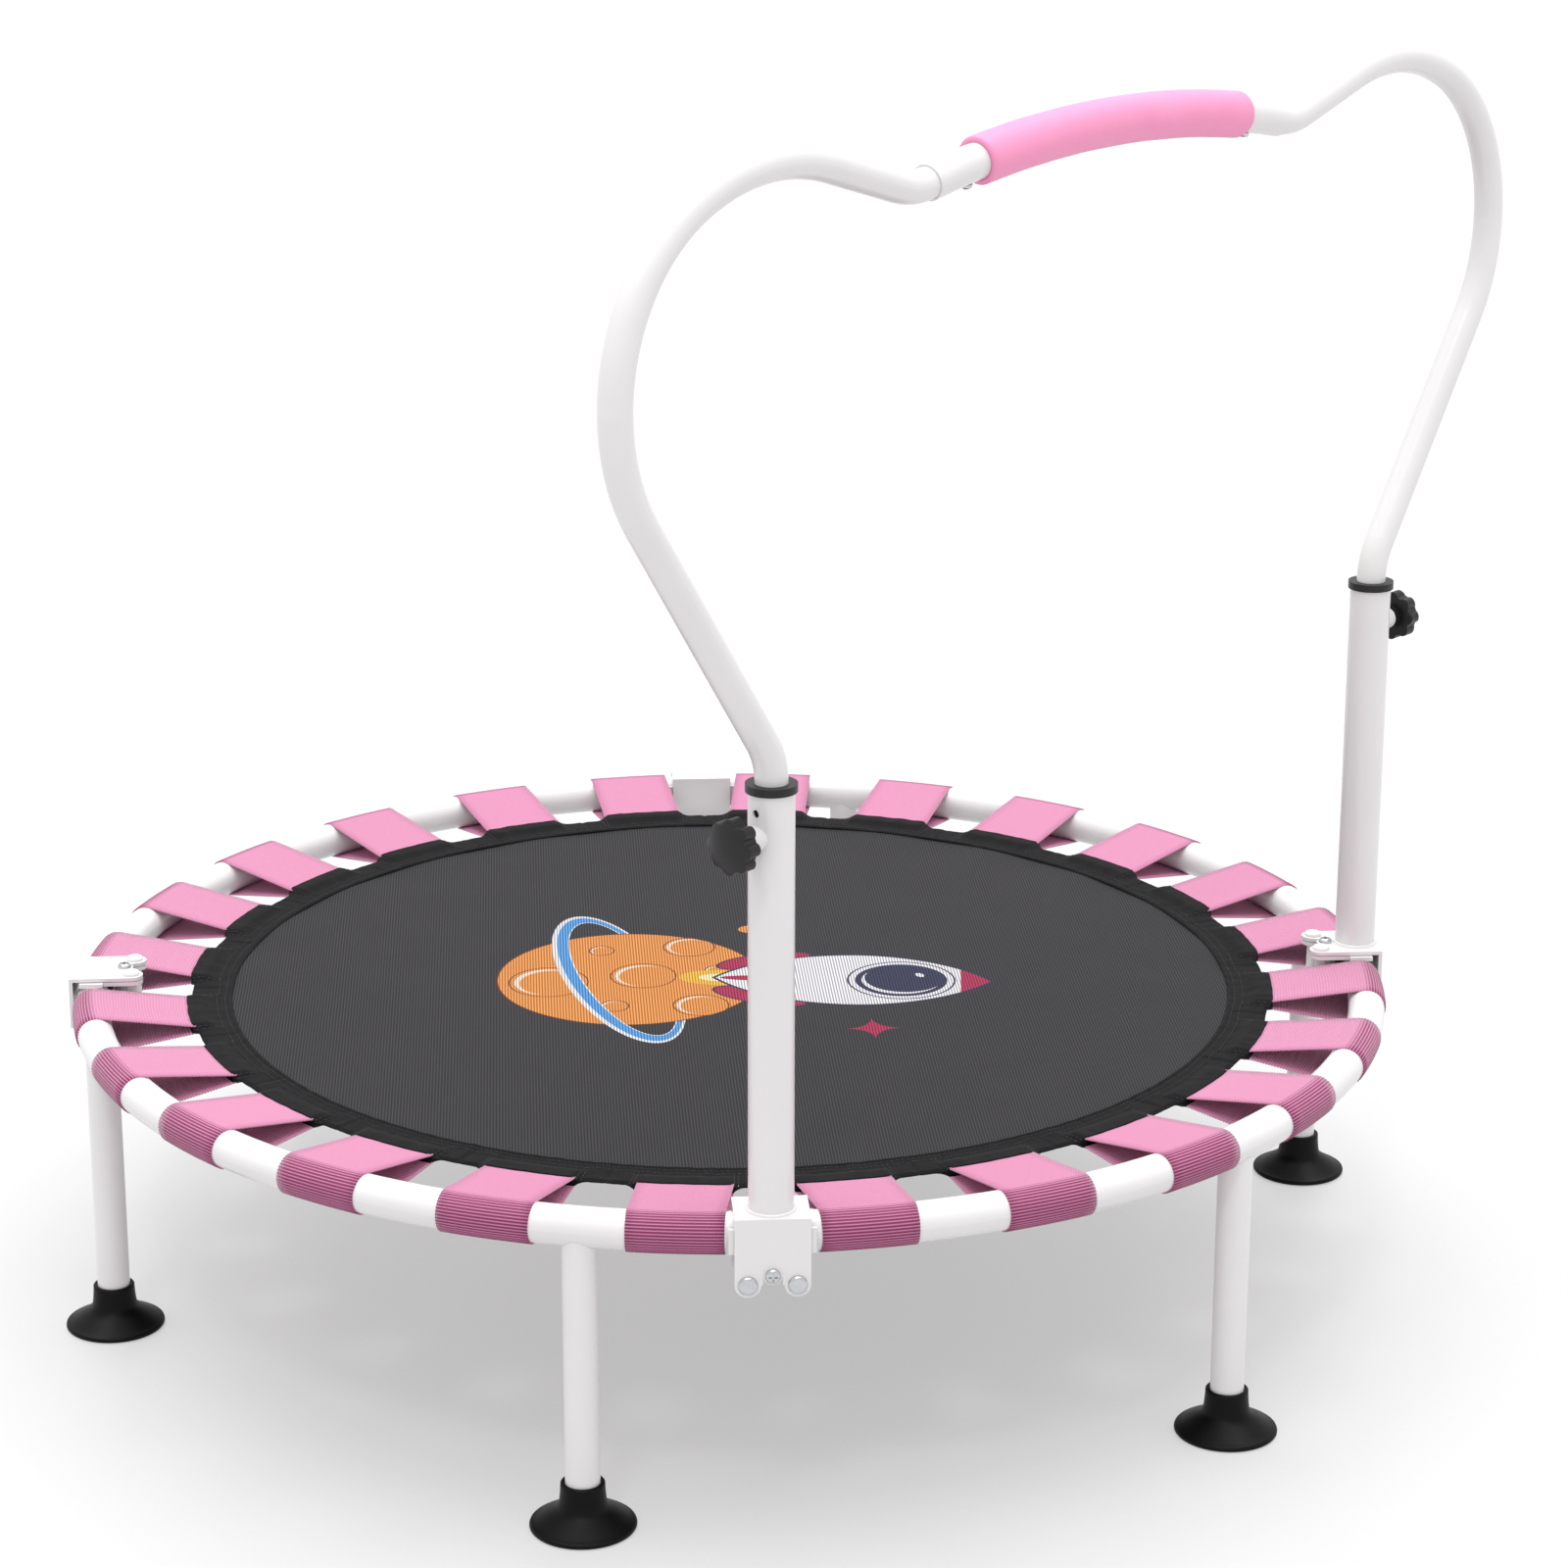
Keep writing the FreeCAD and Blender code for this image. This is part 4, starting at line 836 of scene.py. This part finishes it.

# %% [markdown]
# The grid's X is a share of the loop's length and its Y a share of its width. Three numbers are stored on
# the points for the material: how high on a rib they are, where they lie across the width, and how much
# painted shade the rib gaps take, which is 1 where the webbing bends round the tube and 0 where it runs
# straight.
# %% Ribbed webbing along the loop
STRAPS_IN_SET = 6
STEPS_IN_RIB = 6
WIDTH_POINTS = 8
SPLAY_SHARE = 0.03
CLOSING_STEEPNESS = 12.0
WELD_DISTANCE = 0.02 * MM
WOBBLE = 0.0035
STRAP_SIZES = {"Width": STRAP_WIDTH, "Ribs": RIBS, "Rib Height": 0.5 * MM, "Count": STRAPS_IN_SET,
               "First": FIRST_STRAP, "Step": STRAP_PITCH, "Ring Share": RING_SHARE, "Seed": 7}
tree, given = start_nodes("ribbed_straps", STRAP_SIZES)
length_points = add_node(tree, "ShaderNodeMath", {
    0: given["Ribs"], 1: STEPS_IN_RIB, 2: 1.0}, operation="MULTIPLY_ADD")
grid = add_node(tree, "GeometryNodeMeshGrid", {
    "Size X": 1.0, "Size Y": 1.0, "Vertices X": length_points, "Vertices Y": WIDTH_POINTS})
grid_place = add_node(tree, "GeometryNodeInputPosition")
grid_axes = add_node(tree, "ShaderNodeSeparateXYZ", {0: grid_place})
share = add_node(tree, "ShaderNodeMath", {0: grid_axes.outputs["X"], 1: 0.5}, operation="ADD")
on_line = add_node(tree, "GeometryNodeSampleCurve", {
    "Curves": given["Geometry"], "Factor": share}, mode="FACTOR", use_all_curves=True)
half_waves = add_node(tree, "ShaderNodeMath", {0: share, 1: given["Ribs"]}, operation="MULTIPLY")
wave_angle = add_node(tree, "ShaderNodeMath", {0: half_waves, 1: math.pi}, operation="MULTIPLY")
wave = add_node(tree, "ShaderNodeMath", {0: wave_angle}, operation="SINE")
crest = add_node(tree, "ShaderNodeMath", {0: wave}, operation="ABSOLUTE")
lift = add_node(tree, "ShaderNodeMath", {0: crest, 1: given["Rib Height"]}, operation="MULTIPLY")
# wrap_shade is 1 where the webbing bends round the tube, where its rib gaps get the deepest painted shade
opening = add_node(tree, "ShaderNodeMapRange", {"Value": share, "From Max": SPLAY_SHARE})
closing = add_node(tree, "ShaderNodeMapRange", {
    "Value": share, "From Min": given["Ring Share"], "From Max": 0.0, "To Max": CLOSING_STEEPNESS})
wrap_shade = add_node(tree, "ShaderNodeMath", {0: opening, 1: closing}, operation="MINIMUM", use_clamp=True)
outward = add_node(tree, "ShaderNodeVectorMath", {
    0: on_line.outputs["Tangent"], 1: (0, -1, 0)}, operation="CROSS_PRODUCT")
raised = add_node(tree, "ShaderNodeVectorMath", {0: outward, "Scale": lift}, operation="SCALE")
ribbed_place = add_node(tree, "ShaderNodeVectorMath", {
    0: on_line.outputs["Position"], 1: raised}, operation="ADD")
print("ribs", RIBS)

# %% Bend the width, weld the loop and repeat it
straight = add_node(tree, "ShaderNodeSeparateXYZ", {0: ribbed_place})
sideways = add_node(tree, "ShaderNodeMath", {
    0: grid_axes.outputs["Y"], 1: given["Width"]}, operation="MULTIPLY")
bend = add_node(tree, "ShaderNodeMath", {0: sideways, 1: straight.outputs["X"]}, operation="DIVIDE")
bent = {"Z": straight.outputs["Z"]}
for axis, part in (("X", "COSINE"), ("Y", "SINE")):
    turned = add_node(tree, "ShaderNodeMath", {0: bend}, operation=part)
    bent[axis] = add_node(tree, "ShaderNodeMath", {
        0: straight.outputs["X"], 1: turned}, operation="MULTIPLY")
bent_place = add_node(tree, "ShaderNodeCombineXYZ", bent)
marked = grid
for label, value in (("rib", crest), ("selvage", grid_axes.outputs["Y"]), ("wrap_shade", wrap_shade)):
    marked = add_node(tree, "GeometryNodeStoreNamedAttribute", {
        "Geometry": marked, "Name": label, "Value": value}, data_type="FLOAT", domain="POINT")
shaped = add_node(tree, "GeometryNodeSetPosition", {"Geometry": marked, "Position": bent_place})
welded = add_node(tree, "GeometryNodeMergeByDistance", {
    "Geometry": shaped, "Distance": WELD_DISTANCE})
posts = add_node(tree, "GeometryNodeMeshLine", {"Count": given["Count"], "Offset": (0, 0, 0)})
index = add_node(tree, "GeometryNodeInputIndex")
azimuth = add_node(tree, "ShaderNodeMath", {
    0: index, 1: given["Step"], 2: given["First"]}, operation="MULTIPLY_ADD")
wobble = add_node(tree, "FunctionNodeRandomValue", {
    "Min": -WOBBLE, "Max": WOBBLE, "Seed": given["Seed"]}, data_type="FLOAT")
turn = add_node(tree, "ShaderNodeMath", {0: azimuth, 1: wobble}, operation="ADD")
spin = add_node(tree, "ShaderNodeCombineXYZ", {"Z": turn})
straps = add_node(tree, "GeometryNodeInstanceOnPoints", {
    "Points": posts, "Instance": welded, "Rotation": spin})
strap_tree = tree
end_nodes(strap_tree, straps, given["Material"])
print("strap tree nodes", len(strap_tree.nodes))

# %% [markdown]
# The webbing is knitted polyester over rubber cores, dyed pink. The gaps between its ribs are painted
# darker than the crests as painted shade: deep red where it bends round the tube, and nearly the crests'
# pink on the straight webs. A fine stitch crosses the ribs, 1.2 mm apart, and the sheen is the fuzz of
# the yarn.
# %% Webbing
KNIT_PITCH = 1.2 * MM
webbing, tree = new_material("pink_elastic_webbing")
place = add_node(tree, "ShaderNodeTexCoord").outputs["Object"]
rib = add_node(tree, "ShaderNodeAttribute", attribute_name="rib").outputs["Fac"]
across = add_node(tree, "ShaderNodeAttribute", attribute_name="selvage").outputs["Fac"]
wrap_shade = add_node(tree, "ShaderNodeAttribute", attribute_name="wrap_shade").outputs["Fac"]
knit_angle = add_node(tree, "ShaderNodeMath", {
    0: across, 1: math.tau * STRAP_WIDTH / KNIT_PITCH}, operation="MULTIPLY")
knit = add_node(tree, "ShaderNodeMath", {0: knit_angle}, operation="SINE")
dye, crest_pink = mottle(tree, place, 7 * MM, "#CB88A9", "#D392B1", 3.0)
# painted shade: the rib gaps are darker than the crests, deepest on the wraps round the tube
gap_shade_pink = add_node(tree, "ShaderNodeMix", {
    "Factor": wrap_shade, "A": from_hex("#BB7597"), "B": from_hex("#75104A")}, data_type="RGBA")
soft_rib = add_node(tree, "ShaderNodeMapRange", {"Value": rib, "From Min": 0.15, "From Max": 0.9})
colour = add_node(tree, "ShaderNodeMix", {
    "Factor": soft_rib, "A": gap_shade_pink, "B": crest_pink}, data_type="RGBA")
soft = add_node(tree, "ShaderNodeMapRange", {"Value": dye, "To Min": 0.6, "To Max": 0.74})
end_material(tree, colour, knit, 0.06 * MM, {
    "Roughness": soft, "IOR": 1.46, "Sheen Weight": 0.8, "Sheen Roughness": 0.3,
    "Sheen Tint": from_hex("#FBDDEA")})
print(webbing.name)

# %% Draw the four sets of straps
STRAP_SETS = {"front_right_straps": "right_half", "back_right_straps": "right_half",
              "back_left_straps": "left_half", "front_left_straps": "left_half"}
FIRST_SEED = 11
strap_pieces = {}
for number, node in enumerate(STRAP_SETS):
    first = FIRST_STRAP + number * STRAPS_IN_SET * STRAP_PITCH
    values = dict(STRAP_SIZES, First=first, Seed=FIRST_SEED + number, Material=webbing)
    piece = run_nodes(strap_line, strap_tree, values, "elastic_" + node)
    apply_modifier(piece, "SOLIDIFY", thickness=STRAP_THICKNESS, offset=1.0)
    piece.data.polygons.foreach_set("use_smooth", [True] * len(piece.data.polygons))
    strap_pieces[node] = piece
bpy.data.objects.remove(strap_line)
print({name: len(piece.data.polygons) for name, piece in strap_pieces.items()})

# %% [markdown]
# ## Foam grip
# The grip is a sleeve of closed-cell nitrile foam, moulded with a skin, so its side is smooth and soft to
# the light. It follows the crossbar's arch. Its section is swept along that arc, the ends are rounded over
# a few rows, and slow noise leaves it a little uneven. A bent cylinder would do as well, but the
# sweep keeps its bore on the bar exactly.
# %% Sweep the grip
GRIP_LENGTH = 266 * MM
GRIP_RADIUS = 15 * MM
GRIP_BORE = 11.35 * MM
GRIP_SHRINK = 0.1 * MM
GRIP_AROUND = 72
GRIP_UNEVEN = 0.18 * MM
ARCH_RADIUS = 940 * MM
grip_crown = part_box("foam_grip")[1].z - GRIP_RADIUS
# each point of the rounded end: how far in from the end, and its radius
end_round = [(0.0, GRIP_BORE), (0.0, GRIP_RADIUS - 2.4 * MM), (0.15 * MM, GRIP_RADIUS - 1.3 * MM),
             (0.6 * MM, GRIP_RADIUS - 0.5 * MM), (1.5 * MM, GRIP_RADIUS - 0.12 * MM)]
section = end_round + [(GRIP_LENGTH * t, GRIP_RADIUS) for t in np.linspace(0.012, 0.988, 66)]
section += [(GRIP_LENGTH - s, r) for s, r in end_round[::-1]]
section += [(GRIP_LENGTH * t, GRIP_BORE) for t in np.linspace(0.97, 0.03, 12)]
grip_rings = []
for s, r in section:
    tilt = (s - GRIP_LENGTH / 2) / ARCH_RADIUS
    ring = []
    for k in range(GRIP_AROUND):
        a = k * math.tau / GRIP_AROUND
        uneven = GRIP_UNEVEN * noise.noise((s * 45, math.cos(a) * 1.3, math.sin(a) * 1.3))
        skin_radius = r - GRIP_SHRINK + (uneven if r > GRIP_BORE else 0)
        out = ARCH_RADIUS + skin_radius * math.cos(a)
        ring.append((out * math.sin(tilt), UPRIGHT_Y + skin_radius * math.sin(a),
                     grip_crown - ARCH_RADIUS + out * math.cos(tilt)))
    grip_rings.append(ring)
grip_points = [point for ring in grip_rings for point in ring]
foam_grip = mesh_piece("soft_foam_grip", grip_points, closed_loft(grip_rings))
print("grip faces", len(foam_grip.data.polygons))

# %% Foam
foam, tree = new_material("moulded_nitrile_foam")
place = add_node(tree, "ShaderNodeTexCoord").outputs["Object"]
cells = add_node(tree, "ShaderNodeTexVoronoi", {"Vector": place, "Scale": 1 / (0.9 * MM)})
bloom, colour = mottle(tree, place, 18 * MM, "#EA8DB6", "#F099C0", 3.0)
skin = add_node(tree, "ShaderNodeMapRange", {"Value": bloom, "To Min": 0.46, "To Max": 0.6})
end_material(tree, colour, cells, 0.03 * MM, {
    "Roughness": skin, "IOR": 1.45, "Subsurface Weight": 0.15,
    "Subsurface Radius": (4 * MM, 1.5 * MM, 2 * MM), "Subsurface Scale": 0.5}, strength=0.6)
foam_grip.data.materials.append(foam)
print(foam.name)

# %% [markdown]
# ## Rubber feet
# Each foot is a moulded suction cup: a collar on the leg, a waist, and a thin skirt with a raised rim.
# One half section is turned into a cup, and Geometry Nodes set it under the three legs of each half.
# %% Turn one suction cup
CUP_AROUND = 56
# radius and height in millimetres, down the outside, round the rim and back under the skirt
CUP_SECTION = [
    (11.15, 9.0), (11.15, 29.2), (11.6, 29.9), (12.4, 30.0), (13.4, 29.7), (13.9, 29.0),
    (13.95, 27.0), (14.2, 23.0), (14.5, 19.5), (14.9, 16.6), (15.8, 14.0), (17.6, 12.0),
    (20.2, 10.2), (23.4, 8.2), (26.8, 6.0), (29.6, 4.3), (31.4, 3.4), (32.3, 3.15),
    (33.1, 2.6), (33.45, 1.7), (33.4, 0.7), (32.9, 0.05), (32.2, 0.1), (30.4, 1.3),
    (26.5, 2.9), (20.5, 4.2), (13.0, 4.9), (6.0, 5.0)]
cup_points = [(r * MM * math.cos(a), r * MM * math.sin(a), z * MM)
              for r, z in CUP_SECTION for a in np.linspace(0, math.tau, CUP_AROUND + 1)[:-1]]
last_ring = (len(CUP_SECTION) - 1) * CUP_AROUND
cup_faces = [(i + j, i + (j + 1) % CUP_AROUND, i + CUP_AROUND + (j + 1) % CUP_AROUND, i + CUP_AROUND + j)
             for i in range(0, last_ring, CUP_AROUND) for j in range(CUP_AROUND)]
cup_faces.append(tuple(range(last_ring, last_ring + CUP_AROUND)))
cup_faces.append(tuple(range(CUP_AROUND))[::-1])
suction_cup = mesh_piece("suction_cup", cup_points, cup_faces)
cup_mesh = bmesh.new()
cup_mesh.from_mesh(suction_cup.data)
bmesh.ops.recalc_face_normals(cup_mesh, faces=cup_mesh.faces)
cup_mesh.to_mesh(suction_cup.data)
cup_mesh.free()
print("cup faces", len(suction_cup.data.polygons))

# %% Set the cups under the legs
LEG_INPUTS = ("First Leg", "Second Leg", "Third Leg")
tree, given = start_nodes("cups_under_legs", dict.fromkeys(LEG_INPUTS, 0.0))
cups = add_node(tree, "GeometryNodeJoinGeometry")
for label in LEG_INPUTS:
    angle = add_node(tree, "ShaderNodeMath", {0: given[label]}, operation="RADIANS")
    spin = add_node(tree, "ShaderNodeCombineXYZ", {"Z": angle})
    out = add_node(tree, "GeometryNodeTransform", {
        "Geometry": given["Geometry"], "Translation": (RING_RADIUS, 0, 0)})
    under_leg = add_node(tree, "GeometryNodeTransform", {"Geometry": out, "Rotation": spin})
    tree.links.new(under_leg.outputs["Geometry"], cups.inputs["Geometry"])
end_nodes(tree, cups, given["Material"])
feet = {}
for body, legs in (("left_half", LEFT_LEGS), ("right_half", RIGHT_LEGS)):
    values = dict(zip(LEG_INPUTS, map(float, legs.values())), Material=rubber)
    feet[body] = run_nodes(suction_cup, tree, values, body + "_suction_cups")
    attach(feet[body], body)
    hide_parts(*legs)
bpy.data.objects.remove(suction_cup)
print("faces of three cups", len(feet["left_half"].data.polygons))

# %% [markdown]
# ## Join the pieces to the frame
# The mat and hem cross the fold, so here they stay in place in the world, joined to neither half. Everything
# else moves with one body, and the CAD nodes that the pieces replace are hidden.
# %% Ride and hide
for piece in (jumping_mat, mat_hem, hem_stitches):
    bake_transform(piece)
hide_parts("left_mat", "right_mat")
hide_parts("left_hem", "right_hem")
for node, piece in strap_pieces.items():
    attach(piece, STRAP_SETS[node])
    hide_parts(node)
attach(foam_grip, "handle")
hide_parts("foam_grip")
print("pieces declared", 4 + len(strap_pieces) + len(feet))
